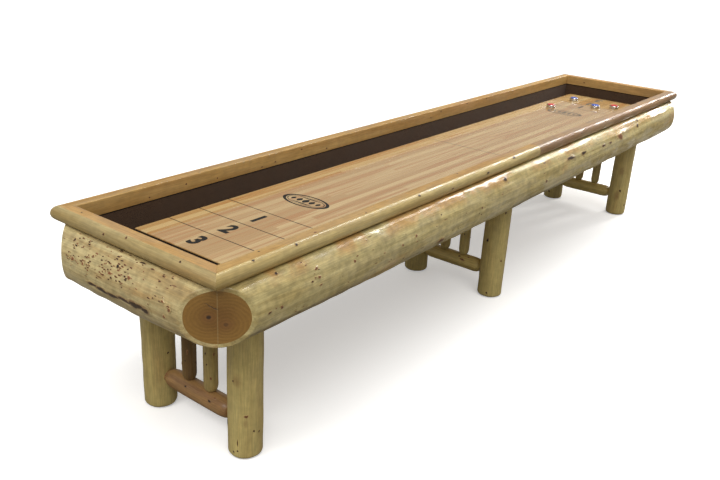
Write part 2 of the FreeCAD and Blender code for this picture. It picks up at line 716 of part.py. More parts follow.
def make_foot(name, x, y):
    """A round leveller foot with a socket for the end of its screw."""
    socket = "(Sizes.stem_radius + Sizes.stem_clearance)"
    outline = [
        ("0", "0"), ("Sizes.foot_radius", "0"), ("Sizes.foot_radius", "Sizes.foot_rim_height"),
        ("Sizes.foot_hub_radius", "Sizes.foot_height"), (socket, "Sizes.foot_height"),
        (socket, "Sizes.stem_seat_height"), ("0", "Sizes.stem_seat_height"),
    ]
    body = turned_body(name, outline)
    place(body, x, y)
    return body


def make_stem(name, x, y):
    """The leveller screw, with a hexagonal collar for the spanner just above the foot."""
    seat = "(Sizes.stem_seat_height + Sizes.stem_seat_gap)"
    outline = [
        ("0", seat), ("Sizes.stem_radius", seat),
        ("Sizes.stem_radius", "Sizes.stem_top_height"), ("0", "Sizes.stem_top_height"),
    ]
    body = turned_body(name, outline)
    sketch = body_sketch(body, f"{name}_collar_outline", "XY_Plane", "(Sizes.foot_height + Sizes.collar_gap)")
    draw_outline(sketch, hexagon("Sizes.stem_collar_flats"))
    collar = body.newObject("PartDesign::Pad", f"{name}_collar")
    collar.Profile = sketch
    bind(collar, Length="Sizes.stem_collar_height")
    place(body, x, y)
    return body


spindles = []
for pair, sign in PAIRS.items():
    pair_x = f"({sign} * {LEG_X})"
    for side, hand in (("front", -1), ("back", 1)):
        leg_y = f"({hand} * {LEG_Y})"
        inwards = about_z(0 if hand < 0 else 180)
        corner = f"{pair}_{side}"
        node(make_leg(f"{corner}_leg", pair_x, leg_y, inwards), f"{corner}_leg")
        node(make_foot(f"{corner}_leveller_foot", pair_x, leg_y), f"{corner}_leveller_foot")
        node(make_stem(f"{corner}_leveller_screw", pair_x, leg_y), f"{corner}_leveller_screw")
        spindles.append(make_spindle(f"{corner}_spindle", pair_x, f"({hand} * Sizes.spindle_offset)"))
    node(make_stretcher(f"{pair}_stretcher", pair_x), f"{pair}_stretcher")
    beam_x = (f"({pair_x} - Sizes.beam_width / 2)", f"({pair_x} + Sizes.beam_width / 2)")
    beam_y = both_ways(f"({CABINET_Y} - Sizes.beam_gap)")
    beam_blank = box(f"{pair}_beam_blank", beam_x, beam_y, (BEAM_UNDER, DECK_UNDER))
    beam_tools = gather(f"{pair}_beam_tools", [leg_bolts] + spindles[-2:])
    node(cut(f"{pair}_beam", beam_blank, beam_tools), f"{pair}_beam")
node(gather("spindles", spindles), "spindles")


# --- Weights --------------------------------------------------------------------------------------

WEIGHTS = ("blue_weight_a", "red_weight_a", "blue_weight_b", "red_weight_b")


def make_weight_base(name, x, y):
    """A steel puck with a shallow seat for its cap."""
    radius = "Sizes.weight_radius"
    edge = "Sizes.weight_edge"
    top = "Sizes.weight_base_height"
    outline = [
        ("0", "0"), (f"({radius} - {edge})", "0"), (radius, edge), (radius, f"({top} - {edge})"),
        (f"({radius} - {edge})", top), ("Sizes.weight_cap_radius", top),
        ("Sizes.weight_cap_radius", "Sizes.weight_cap_seat"), ("0", "Sizes.weight_cap_seat"),
    ]
    body = turned_body(name, outline)
    place(body, x, y, f"({FIELD_TOP} + Sizes.bead_gap)")
    return body


def make_weight_cap(name, x, y):
    """The coloured cap that fills the seat and stands above the steel."""
    outer = "Sizes.weight_cap_radius"
    shoulder = f"({outer} - Sizes.weight_cap_round)"
    outline = [
        ("0", "Sizes.weight_cap_seat"), (outer, "Sizes.weight_cap_seat"), (outer, "Sizes.weight_cap_rim"),
        (shoulder, "Sizes.weight_height"), ("0", "Sizes.weight_height"),
    ]
    body = turned_body(name, outline)
    place(body, x, y, f"({FIELD_TOP} + Sizes.bead_gap)")
    return body


for name in WEIGHTS:
    weight_x = f"(Sizes.playfield_length / 2 - Sizes.{name}_from_end)"
    weight_y = f"Sizes.{name}_sideways"
    node(make_weight_base(f"{name}_base", weight_x, weight_y), f"{name}_base")
    node(make_weight_cap(f"{name}_cap", weight_x, weight_y), f"{name}_cap")


# --- Check and export -----------------------------------------------------------------------------

document.recompute()
for thing in document.Objects:
    if "Invalid" in thing.State or "Error" in thing.State:
        raise RuntimeError(f"{thing.Label} did not rebuild: {thing.State}")

MOST_NODES = 60
if len(nodes) > MOST_NODES:
    raise RuntimeError(f"{len(nodes)} nodes are more than {MOST_NODES}")

os.makedirs("parts", exist_ok=True)
for thing in nodes:
    shape = thing.Shape
    if shape.isNull() or not shape.isValid() or not shape.Solids:
        raise RuntimeError(f"{thing.Label} has no valid solid")
    shape.exportStep(f"parts/{thing.Label}.step")
    print(f"{thing.Label}: {len(shape.Solids)} solid(s), {shape.Volume / 1e6:.4f} litres")
print(f"{len(nodes)} nodes")
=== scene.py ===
# %% [markdown]
# This lesson dresses a log-style shuffleboard table. The measured frame comes from the CAD model, and every
# visible wooden piece, carpet and weight is built over it as a surface worked out with numpy.
# All lengths are metres: X runs along the table, Y across it, and Z up from the floor.

# %% Load the frame
import math

import bmesh
import bpy
import numpy as np
from mathutils import Matrix, Vector


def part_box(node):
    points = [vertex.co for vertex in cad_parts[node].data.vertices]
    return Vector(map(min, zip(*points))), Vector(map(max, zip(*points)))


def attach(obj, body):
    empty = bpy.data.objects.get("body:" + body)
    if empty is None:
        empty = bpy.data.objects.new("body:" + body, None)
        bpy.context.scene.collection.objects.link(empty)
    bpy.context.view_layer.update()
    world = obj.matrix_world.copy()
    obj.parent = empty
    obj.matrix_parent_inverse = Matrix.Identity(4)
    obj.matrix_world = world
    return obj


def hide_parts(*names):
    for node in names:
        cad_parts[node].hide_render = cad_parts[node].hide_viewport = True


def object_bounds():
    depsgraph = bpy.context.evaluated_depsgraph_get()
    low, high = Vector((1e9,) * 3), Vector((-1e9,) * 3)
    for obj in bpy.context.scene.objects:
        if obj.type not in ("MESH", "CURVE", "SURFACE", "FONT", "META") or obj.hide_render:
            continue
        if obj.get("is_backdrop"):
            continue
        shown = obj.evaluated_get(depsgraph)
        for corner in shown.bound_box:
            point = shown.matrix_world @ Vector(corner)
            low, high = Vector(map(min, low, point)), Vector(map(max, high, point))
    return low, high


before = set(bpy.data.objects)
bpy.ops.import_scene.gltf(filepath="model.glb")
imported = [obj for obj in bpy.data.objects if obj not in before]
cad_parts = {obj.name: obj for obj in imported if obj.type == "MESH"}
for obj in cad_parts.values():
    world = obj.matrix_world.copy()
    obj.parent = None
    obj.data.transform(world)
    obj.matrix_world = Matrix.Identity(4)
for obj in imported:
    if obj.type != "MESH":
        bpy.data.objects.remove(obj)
cad_low, cad_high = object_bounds()
print("CAD box", [round(v, 3) for v in (*cad_low, *cad_high)])

# %% [markdown]
# The camera stands at chest height off the near corner. Its pose is three turns: heading about the
# upright, dip below the horizon, and a small roll. Writing the three axes out as a matrix keeps it exact.

# %% Camera
EYE = Vector((-3.527, -1.980, 1.836))
HEADING, DIP, ROLL = (math.radians(angle) for angle in (36.758, -22.057, 3.2485))


def aim_camera():
    """Ahead comes from heading and dip; right is ahead x upright; both side axes are then turned by the
    roll."""
    level = math.cos(DIP)
    ahead = Vector((level * math.cos(HEADING), level * math.sin(HEADING), math.sin(DIP)))
    right = ahead.cross(Vector((0, 0, 1))).normalized()
    up = right.cross(ahead)
    rolled_right = right * math.cos(ROLL) + up * math.sin(ROLL)
    rolled_up = up * math.cos(ROLL) - right * math.sin(ROLL)
    matrix = Matrix((rolled_right, rolled_up, -ahead)).transposed().to_4x4()
    matrix.translation = EYE
    return matrix


lens = bpy.data.cameras.new("showroom_camera")
lens.lens, lens.sensor_width, lens.sensor_fit = 39.14, 36.0, "HORIZONTAL"
camera = bpy.data.objects.new("showroom_camera", lens)
bpy.context.scene.collection.objects.link(camera)
camera.matrix_world = aim_camera()
bpy.context.scene.camera = camera
bpy.context.scene.view_settings.view_transform = "Standard"
print("camera at", tuple(EYE))

# %% [markdown]
# Varnished wood shows its shape by what it reflects, so a few long ceiling lamps hang over a pale room.
# They draw broken bright lines along the logs, and a soft pale surround fills the shadows.

# %% Light and floor
def hang_lamp(name, place, aim, width, length, power, tint=(1.0, 0.98, 0.95)):
    """A rectangular lamp at place whose light axis points at aim."""
    data = bpy.data.lights.new(name, "AREA")
    data.shape, data.size, data.size_y, data.energy, data.color = "RECTANGLE", width, length, power, tint
    lamp = bpy.data.objects.new(name, data)
    lamp.location = place
    lamp.rotation_euler = (Vector(aim) - Vector(place)).to_track_quat("-Z", "Y").to_euler()
    bpy.context.scene.collection.objects.link(lamp)


world = bpy.data.worlds.new("pale_room")
bpy.context.scene.world = world
world.use_nodes = True
seen = world.node_tree.nodes.new("ShaderNodeLightPath").outputs["Is Camera Ray"]
sky = world.node_tree.nodes.new("ShaderNodeMapRange")
sky.inputs["To Min"].default_value, sky.inputs["To Max"].default_value = 0.36, 0.95
world.node_tree.links.new(seen, sky.inputs["Value"])
world.node_tree.links.new(sky.outputs["Result"], world.node_tree.nodes["Background"].inputs["Strength"])
world.node_tree.nodes["Background"].inputs["Color"].default_value = (1.0, 0.98, 0.94, 1)

hang_lamp("lamp_over_far_end", (5.4, -0.9, 3.5), (1.0, 0.0, 0.6), 0.60, 3.8, 115)
hang_lamp("lamp_over_middle", (1.8, -0.2, 3.6), (0.0, 0.0, 0.6), 0.30, 3.2, 55)
hang_lamp("lamp_by_near_end", (-5.2, 0.6, 4.2), (-1.6, 0.0, 0.6), 1.6, 1.6, 60)
daylight = bpy.data.lights.new("soft_daylight", "SUN")
daylight.energy, daylight.angle, daylight.color = 2.0, math.radians(50), (1.0, 0.99, 0.97)
window = bpy.data.objects.new("soft_daylight", daylight)
window.rotation_euler = Vector((0.42, 0.40, -1.0)).to_track_quat("-Z", "Y").to_euler()
bpy.context.scene.collection.objects.link(window)
print("3 lamps and daylight")

# %% [markdown]
# Pieces here are grids: a surface is a function of two parameters, evaluated for whole arrays at once.
# One helper turns any number of grids into one mesh, merges doubled points so that seams and poles close,
# and makes every face point outwards.

# %% Mesh helpers
def grid_faces(rows, columns, around):
    """Each quad joins point (row, column) to its right, its right-above and its above neighbour."""
    ids = np.arange(rows * columns).reshape(rows, columns)
    left, right = (ids, np.roll(ids, -1, axis=1)) if around else (ids[:, :-1], ids[:, 1:])
    return np.stack([left[:-1], right[:-1], right[1:], left[1:]], axis=-1).reshape(-1, 4)


def build_piece(name, grids, materials, body, replaced=(), sharp=38.0):
    """Stacks grids of points into one mesh. A grid is a dict: points (rows, columns, 3), around, material,
    and any attributes by name as (rows, columns) arrays."""
    places, faces, choices, start = [], [], [], 0
    words = sorted({word for grid in grids for word in grid.get("marks", {})})
    marks = {word: [] for word in words}
    for grid in grids:
        rows, columns = grid["points"].shape[:2]
        quads = grid_faces(rows, columns, grid.get("around", True)) + start
        places.append(grid["points"].reshape(-1, 3))
        faces.append(quads)
        choices.append(np.broadcast_to(grid.get("material", 0), len(quads)))
        for word in words:
            values = grid.get("marks", {}).get(word, 0.0)
            marks[word].append(np.broadcast_to(values, (rows, columns)).ravel())
        start += rows * columns
    mesh = bpy.data.meshes.new(name)
    mesh.from_pydata(np.concatenate(places).tolist(), [], np.concatenate(faces).tolist())
    mesh.polygons.foreach_set("material_index", np.concatenate(choices).astype(np.int32))
    for word in words:
        layer = mesh.attributes.new(word, "FLOAT", "POINT")
        layer.data.foreach_set("value", np.concatenate(marks[word]).astype(np.float32))
    close_and_face_out(mesh)
    mesh.set_sharp_from_angle(angle=math.radians(sharp))
    return dress(bpy.data.objects.new(name, mesh), materials, body, replaced)


def close_and_face_out(mesh):
    """Points closer than a hundredth of a millimetre become one; then every face is turned outwards."""
    work = bmesh.new()
    work.from_mesh(mesh)
    bmesh.ops.remove_doubles(work, verts=work.verts, dist=1e-5)
    bmesh.ops.recalc_face_normals(work, faces=work.faces)
    work.to_mesh(mesh)
    work.free()
    mesh.polygons.foreach_set("use_smooth", np.ones(len(mesh.polygons), bool))


def dress(piece, materials, body, replaced=()):
    """Links a piece, gives it its materials, parents it to its body's empty, and hides the CAD parts it
    replaces.
    """
    bpy.context.scene.collection.objects.link(piece)
    for material in materials:
        piece.data.materials.append(material)
    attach(piece, body)
    if replaced:
        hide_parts(*replaced)
    return piece


def ripple(along, angle, seed, waves=20):
    """A smooth hand-worked unevenness from 0 to 1: a sum of sines along the log and whole turns round it."""
    chance = np.random.default_rng(seed)
    total = np.zeros(np.broadcast(along, angle).shape)
    for _ in range(waves):
        length, turns, shift = chance.uniform(0.10, 1.1), chance.integers(0, 7), chance.uniform(0, 2 * np.pi)
        total = total + np.sin(2 * np.pi * along / length + turns * angle + shift)
    return 0.5 + 0.5 * np.tanh(total / np.sqrt(waves))


print("helpers ready")

# %% [markdown]
# Knots, flecks and scraps of bark sit on the wood as very low domes. Each dome copies the surface below it,
# so its rim sinks in without a seam, and it carries an attribute that is 1 at its heart and 0 at its rim.
# The wood's own material reads that attribute, which is why the colours melt into each other.

# %% Knot helper
LOG_GIRTH = 0.095
SMALL_LIFT = 0.0008


def raised_marks(skin, marks, seed):
    """For each mark (along, around, half length, half width, lift, tone): rings of points on the skin about
    its heart, with a wobbly outline, lifted along the skin's normal by a quarter of a millimetre plus lift
    times (1 - ring squared) squared."""
    chance = np.random.default_rng(seed)
    full = ([0, 0.18, 0.36, 0.52, 0.68, 0.84, 1.0, 0.5, 0.0], [0, 0, 0, 0, 0, 0, -0.0005, -0.002, -0.002], 22)
    speck = ([0, 0.45, 1.0, 0.0], [0, 0, -0.0004, -0.001], 9)
    grids = []
    for along, around, half_length, half_width, lift, tone in marks:
        ring, sunk, columns = speck if lift < SMALL_LIFT else full
        ring, sunk = np.array(ring)[:, None], np.array(sunk)[:, None]
        turn = np.linspace(0, 2 * np.pi, columns, endpoint=False)[None, :]
        first, second, third = chance.uniform(0, 2 * np.pi, 3)
        wobble = 1 + 0.16 * np.sin(2 * turn + first) + 0.13 * np.sin(3 * turn + second)
        wobble = wobble + 0.09 * np.sin(5 * turn + third)
        spot_along = along + half_length * ring * wobble * np.cos(turn)
        spot_around = around + half_width * ring * wobble * np.sin(turn)
        place, core = skin(spot_along, spot_around)
        step = 0.002
        across = skin(spot_along, spot_around + step)[0] - skin(spot_along, spot_around - step)[0]
        length = skin(spot_along + step, spot_around)[0] - skin(spot_along - step, spot_around)[0]
        normal = np.cross(length, across)
        normal /= np.linalg.norm(normal, axis=-1, keepdims=True) + 1e-12
        normal *= np.sign(np.sum(normal * (place - core), axis=-1, keepdims=True))
        height = np.where(sunk < 0, sunk, 0.00025 + lift * (1 - ring**2) ** 2)
        strength = np.where(np.arange(len(ring))[:, None] > len(ring) - 3, 0, 1 - ring)
        shape = place.shape[:2]
        points = place + normal * np.broadcast_to(height, shape)[..., None]
        grids.append({
            "points": np.clip(points, np.array(cad_low) + 0.0001, np.array(cad_high) - 0.0001),
            "marks": {"knot": np.broadcast_to(strength, shape), "tone": np.full(shape, tone)},
        })
    return grids


def scattered(seed, count, along, around, size, tones=(0.0, 1.0), lift=0.0012, radius=LOG_GIRTH):
    """Seeded marks where no particular knot is wanted, spread by chance. A mark's half width in metres over
    the radius is its half angle."""
    chance = np.random.default_rng(seed)
    return [
        (chance.uniform(*along), chance.uniform(*around), half * chance.uniform(1.2, 3.4), half / radius,
         lift, chance.choice(tones))
        for half in chance.uniform(*size, count)
    ]


print("marks ready")

# %% [markdown]
# Materials are node graphs. A handful of small helpers keeps each graph readable: one makes a node and sets
# or links its sockets, others stand for the sums and blends that every material uses.

# %% Node helpers
def plug(tree, socket, value):
    if isinstance(value, bpy.types.NodeSocket):
        tree.links.new(value, socket)
    else:
        socket.default_value = value


def node(tree, kind, settings=None, **sockets):
    """Makes one shader node; a socket's name has _ for each space."""
    made = tree.nodes.new("ShaderNode" + kind)
    for name, value in (settings or {}).items():
        setattr(made, name, value)
    for name, value in sockets.items():
        plug(tree, made.inputs[name.replace("_", " ")], value)
    return made


def maths(tree, operation, first, second=0.0, third=0.0):
    made = tree.nodes.new("ShaderNodeMath")
    made.operation = operation
    for socket, value in zip(made.inputs, (first, second, third)):
        plug(tree, socket, value)
    return made.outputs[0]


def times(tree, first, second):
    return maths(tree, "MULTIPLY", first, second)


def ease(tree, value, low, high, start=0.0, end=1.0):
    """start below low, end above high, and a smooth step between."""
    made = node(tree, "MapRange", {"interpolation_type": "SMOOTHSTEP"}, Value=value, From_Min=low,
                From_Max=high, To_Min=start, To_Max=end)
    return made.outputs[0]


def blend(tree, share, first, second, way="MIX"):
    """Colour first at share 0 and second at share 1."""
    made = tree.nodes.new("ShaderNodeMix")
    made.data_type, made.blend_type = "RGBA", way
    plug(tree, made.inputs[0], share)
    plug(tree, made.inputs[6], first)
    plug(tree, made.inputs[7], second)
    return made.outputs[2]


def vector_maths(tree, operation, *values):
    """One sum on vectors; its outputs are a vector, first, and a number named Value."""
    made = node(tree, "VectorMath", {"operation": operation})
    for socket, value in zip(made.inputs, values):
        plug(tree, socket, value)
    return made.outputs


def scaled(tree, vector, by):
    return vector_maths(tree, "MULTIPLY", vector, by)[0]


def moved(tree, vector, by):
    return vector_maths(tree, "ADD", vector, by)[0]


def axes_of(tree, vector):
    """The X, Y and Z of a vector, by name."""
    return node(tree, "SeparateXYZ", None, Vector=vector).outputs


def shaded(tree, colour, light):
    """The colour times one number."""
    grey = node(tree, "CombineColor", None, Red=light, Green=light, Blue=light).outputs[0]
    return blend(tree, 1.0, colour, grey, "MULTIPLY")


def noise(tree, vector, scale, detail=3.0, roughness=0.5, distortion=0.0):
    made = node(tree, "TexNoise", None, Vector=vector, Scale=scale, Detail=detail, Roughness=roughness,
                Distortion=distortion)
    return made.outputs["Fac"]


def new_group(name, inputs, outputs):
    """An empty node group with its sockets, and the two nodes that stand for them inside."""
    tree = bpy.data.node_groups.new(name, "ShaderNodeTree")
    for direction, sockets in (("INPUT", inputs), ("OUTPUT", outputs)):
        for label, kind in sockets.items():
            tree.interface.new_socket(name=label, in_out=direction, socket_type="NodeSocket" + kind)
    return tree, tree.nodes.new("NodeGroupInput").outputs, tree.nodes.new("NodeGroupOutput").inputs


def use(tree, group, **sockets):
    made = tree.nodes.new("ShaderNodeGroup")
    made.node_tree = group
    for name, value in sockets.items():
        plug(tree, made.inputs[name.replace("_", " ")], value)
    return made.outputs


def new_material(name, **shader_values):
    """A material with one Principled shader, its plain values set on its own sockets."""
    material = bpy.data.materials.new(name)
    material.use_nodes = True
    tree = material.node_tree
    tree.nodes.clear()
    shader = node(tree, "BsdfPrincipled", None, **shader_values)
    node(tree, "OutputMaterial", None, Surface=shader.outputs[0])
    place = node(tree, "TexCoord").outputs["Object"]
    return material, tree, shader.inputs, place


def relief(tree, shader, height, depth):
    """Height from 0 to 1, which the shader sees as depth metres deep."""
    bump = node(tree, "Bump", None, Height=height, Distance=depth)
    tree.links.new(bump.outputs[0], shader["Normal"])
    tree.links.new(bump.outputs[0], shader["Coat Normal"])


print("node helpers ready")

# %% [markdown]
# Wood grain is noise squeezed along the log: the coordinates are multiplied by a small number along the
# grain, so every speck becomes a fibre. The group gives fine fibres, broad bands, and drawknife scallops,
# which are long stretched cells whose hollow middles and raised edges catch the light.

# %% Grain group
ALONG_X, ALONG_Y, ALONG_Z = (0.05, 1, 1), (1, 0.05, 1), (1, 1, 0.05)

grain, given, gives = new_group(
    "wood_grain", {"Place": "Vector", "Stretch": "Vector", "Fineness": "Float"},
    {"Fibre": "Float", "Band": "Float", "Scallop": "Float"})
squeezed = scaled(grain, given["Place"], given["Stretch"])
grain.links.new(noise(grain, squeezed, times(grain, given["Fineness"], 230.0), 4, 0.6), gives["Fibre"])
grain.links.new(noise(grain, squeezed, times(grain, given["Fineness"], 26.0), 4, 0.62, 0.4),
                gives["Band"])
cells = node(grain, "TexVoronoi", {"feature": "SMOOTH_F1"}, Vector=squeezed, Scale=30.0, Smoothness=0.25)
grain.links.new(cells.outputs["Distance"], gives["Scallop"])
print("group", grain.name)

# %% [markdown]
# Small knots and flecks come from a cell pattern: each cell may hold one, by chance, and its distance from
# the cell's seed point makes a dark core inside a warm halo. Noise bends the distance so that no two are
# round.

# %% Knot group
knots, given, gives = new_group(
    "small_knots",
    {"Place": "Vector", "Stretch": "Vector", "Cells": "Float", "Share": "Float", "Size": "Float"},
    {"Core": "Float", "Halo": "Float"})
bent = noise(knots, given["Place"], 38.0, 2)
squeezed = scaled(knots, given["Place"], given["Stretch"])
cells = node(knots, "TexVoronoi", None, Vector=squeezed, Scale=given["Cells"])
chance = node(knots, "SeparateColor", None, Color=cells.outputs["Color"]).outputs
held = maths(knots, "LESS_THAN", chance["Red"], given["Share"])
radius = times(knots, given["Size"], maths(knots, "ADD", chance["Green"], 0.35))
reach = maths(knots, "DIVIDE", cells.outputs["Distance"], maths(knots, "MAXIMUM", radius, 0.001))
reach = maths(knots, "ADD", reach, times(knots, maths(knots, "SUBTRACT", bent, 0.5), 1.3))
knots.links.new(times(knots, held, ease(knots, reach, 0.75, 1.15, 1.0, 0.0)), gives["Core"])
knots.links.new(times(knots, held, ease(knots, reach, 0.9, 2.3, 1.0, 0.0)), gives["Halo"])
print("group", knots.name)

# %% [markdown]
# Peeled logs weather while they dry: grey water marks, yellow and orange stains. The group gives two slow
# masks, stretched a little along the log.

# %% Stain group
stains, given, gives = new_group(
    "drying_stains", {"Place": "Vector", "Stretch": "Vector"}, {"Grey": "Float", "Orange": "Float"})
slow = scaled(stains, given["Place"], given["Stretch"])
grey = noise(stains, slow, 7.0, 5, 0.65, 0.6)
orange = noise(stains, moved(stains, slow, (7.3, 2.1, 4.4)), 5.5, 4, 0.6, 0.5)
stains.links.new(ease(stains, grey, 0.54, 0.74), gives["Grey"])
stains.links.new(ease(stains, orange, 0.55, 0.72), gives["Orange"])
print("group", stains.name)

# %% [markdown]
# One recipe makes every peeled wood in the table. Each log, rail and leg gets its own values: a pale and a
# deep tone, how strong the stains are, how many small knots it has, and which way its grain runs.

# %% Peeled wood
KNOT_DARK, KNOT_RED = (0.020, 0.010, 0.005, 1), (0.20, 0.080, 0.032, 1)
HALO_BROWN, HALO_RED = (0.25, 0.13, 0.05, 1), (0.44, 0.25, 0.11, 1)


def along_grain(stretch, squeeze):
    """The grain's direction again, with another squeeze along it."""
    return tuple(squeeze if s < 1 else 1.0 for s in stretch)


def raised_knot_colour(tree, colour, place):
    """Lays the raised marks' halo and core over the colour, by the knot and tone attributes."""
    knot = node(tree, "Attribute", {"attribute_name": "knot"}).outputs["Fac"]
    tone = node(tree, "Attribute", {"attribute_name": "tone"}).outputs["Fac"]
    rough = times(tree, maths(tree, "SUBTRACT", noise(tree, place, 260.0, 3), 0.5), 0.55)
    strength = maths(tree, "ADD", knot, times(tree, rough, ease(tree, knot, 0.0, 0.3)))
    halo, core = ease(tree, strength, 0.08, 0.42), ease(tree, strength, 0.40, 0.56)
    halo_colour = blend(tree, tone, HALO_BROWN, HALO_RED)
    core_colour = blend(tree, tone, KNOT_DARK, KNOT_RED)
    colour = blend(tree, times(tree, halo, 0.75), colour, halo_colour)
    return blend(tree, core, colour, core_colour), core


def peeled_wood(name, stretch, pale, deep, grey=0.35, orange=0.35, cells=9.0, share=0.10, size=0.10,
                depth=0.0014, gloss=0.55, sheen_over=0.16, flecks=0.0, warm_top=0.0, mottle=0.08):
    material, tree, shader, place = new_material(
        name, Coat_Roughness=sheen_over, Specular_IOR_Level=0.45)
    wood = use(tree, grain, Place=place, Stretch=stretch, Fineness=1.0)
    stained = use(tree, stains, Place=place, Stretch=along_grain(stretch, 0.25))
    small = use(tree, knots, Place=place, Stretch=along_grain(stretch, 0.5), Cells=cells,
                Share=share, Size=size)
    band = ease(tree, wood["Band"], 0.32, 0.70)
    colour = blend(tree, band, pale, deep)
    colour = blend(tree, times(tree, stained["Orange"], orange), colour, (0.52, 0.27, 0.09, 1))
    colour = blend(tree, times(tree, stained["Grey"], grey), colour, (0.30, 0.25, 0.16, 1))
    if warm_top:
        upper = ease(tree, axes_of(tree, place)["Z"], 0.752, 0.798)
        upper = times(tree, upper, ease(tree, noise(tree, place, 6.0, 4), 0.44, 0.58))
        colour = blend(tree, times(tree, upper, warm_top), colour, (0.52, 0.26, 0.07, 1))
        colour = blend(tree, ease(tree, wood["Fibre"], 0.60, 0.76, 0.0, 0.45), colour, (0.24, 0.16, 0.07, 1))
    fibre = ease(tree, wood["Fibre"], 0.30, 0.72, 0.80, 1.10)
    fibre = times(tree, fibre, ease(tree, noise(tree, place, 34.0, 4, 0.6), 0.32, 0.66, 1.0 - mottle, 1.05))
    colour = shaded(tree, colour, fibre)
    colour = blend(tree, times(tree, small["Halo"], 0.55), colour, HALO_BROWN)
    colour = blend(tree, small["Core"], colour, KNOT_DARK)
    if flecks:
        speck = use(tree, knots, Place=place, Stretch=along_grain(stretch, 0.22), Cells=58.0,
                    Share=flecks, Size=0.16)
        colour = blend(tree, times(tree, speck["Core"], 0.8), colour, (0.16, 0.075, 0.03, 1))
    colour, core = raised_knot_colour(tree, colour, place)
    plug(tree, shader["Base Color"], colour)
    patchy = noise(tree, scaled(tree, place, along_grain(stretch, 0.30)), 17.0, 4)
    gleam = times(tree, ease(tree, patchy, 0.46, 0.56, 0.06, 1.0), ease(tree, core, 0.0, 0.5, 1.0, 0.1))
    plug(tree, shader["Coat Weight"], times(tree, gleam, gloss))
    plug(tree, shader["Roughness"], ease(tree, wood["Band"], 0.3, 0.8, 0.34, 0.55))
    height = maths(tree, "MULTIPLY_ADD", wood["Fibre"], 0.12, wood["Scallop"])
    height = maths(tree, "MULTIPLY_ADD", small["Core"], 0.25, height)
    relief(tree, shader, height, depth)
    return material


SLIM = dict(grey=0.2, depth=0.0008, gloss=0.35, sheen_over=0.22)
PLANED = dict(depth=0.0008, grey=0.15, gloss=0.6)
SAWN = dict(depth=0.0003, grey=0.0, orange=0.3, cells=7.0, share=0.20, size=0.09, gloss=0.7, sheen_over=0.12)
LOG_LONG = peeled_wood("peeled_long_log", ALONG_X, (0.632, 0.530, 0.247, 1), (0.441, 0.332, 0.123, 1),
                       flecks=0.14, grey=0.65, orange=0.60, depth=0.0048, gloss=0.95, sheen_over=0.13,
                       warm_top=0.75, mottle=0.24)
LOG_END = peeled_wood("peeled_end_log", ALONG_Y, (0.616, 0.512, 0.259, 1), (0.410, 0.288, 0.120, 1),
                      flecks=0.40, orange=0.45, share=0.16, mottle=0.22)
LEG_WOOD = peeled_wood("peeled_leg", ALONG_Z, (0.576, 0.465, 0.182, 1), (0.490, 0.376, 0.141, 1), grey=0.25,
                       orange=0.2, depth=0.0008, gloss=0.4, sheen_over=0.22)
STRETCHER_WOOD = peeled_wood("peeled_stretcher", ALONG_Y, (0.414, 0.240, 0.094, 1), (0.276, 0.140, 0.051, 1),
                             **SLIM)
STRETCHER_OLIVE = peeled_wood("peeled_olive_stretcher", ALONG_Y, (0.673, 0.531, 0.194, 1),
                              (0.490, 0.361, 0.121, 1), **SLIM)
SPINDLE_PALE = peeled_wood("pale_spindle", ALONG_Z, (0.536, 0.429, 0.166, 1), (0.382, 0.282, 0.101, 1),
                           **SLIM)
SPINDLE_WOOD = peeled_wood("peeled_spindle", ALONG_Z, (0.237, 0.144, 0.050, 1), (0.152, 0.083, 0.026, 1),
                           **SLIM)
RAIL_ROUND_X = peeled_wood("rail_round_side", ALONG_X, (0.567, 0.446, 0.197, 1), (0.421, 0.295, 0.101, 1),
                           **PLANED)
RAIL_ROUND_Y = peeled_wood("end_rail_round_side", ALONG_Y, (0.442, 0.346, 0.155, 1), (0.341, 0.236, 0.085, 1),
                           **PLANED)
RAIL_SAWN_X = peeled_wood("rail_sawn_face", ALONG_X, (0.512, 0.321, 0.109, 1), (0.380, 0.206, 0.057, 1),
                          **SAWN)
RAIL_ROUND_RED = peeled_wood("red_rail_round_side", ALONG_X, (0.309, 0.185, 0.088, 1),
                             (0.224, 0.113, 0.044, 1), depth=0.0008, grey=0.1, gloss=0.7)
RAIL_SAWN_RED = peeled_wood("red_rail_sawn_face", ALONG_X, (0.378, 0.242, 0.128, 1), (0.275, 0.154, 0.064, 1),
                            **SAWN)
RAIL_SAWN_Y = peeled_wood("end_rail_sawn_face", ALONG_Y, (0.540, 0.331, 0.115, 1), (0.414, 0.226, 0.072, 1),
                          **SAWN)
print("peeled woods", LOG_LONG.name, LOG_END.name)

# %% [markdown]
# Where two half-logs meet at a corner their ends are sawn off at 45 degrees, which bares one oval of end
# grain. The oval has a brown heart with rings, a pale sapwood rim, a seam where the two logs touch, and
# drying cracks. Taking the size of X and Y first makes one pattern serve all four corners.

# %% End grain
HEART_OUT, HEART_UP = 0.007, 0.703
CORNER = (cad_high.x - 0.093, cad_high.y - 0.093, HEART_UP)
FACE_WIDE, FACE_TALL = 0.0885, 0.1085


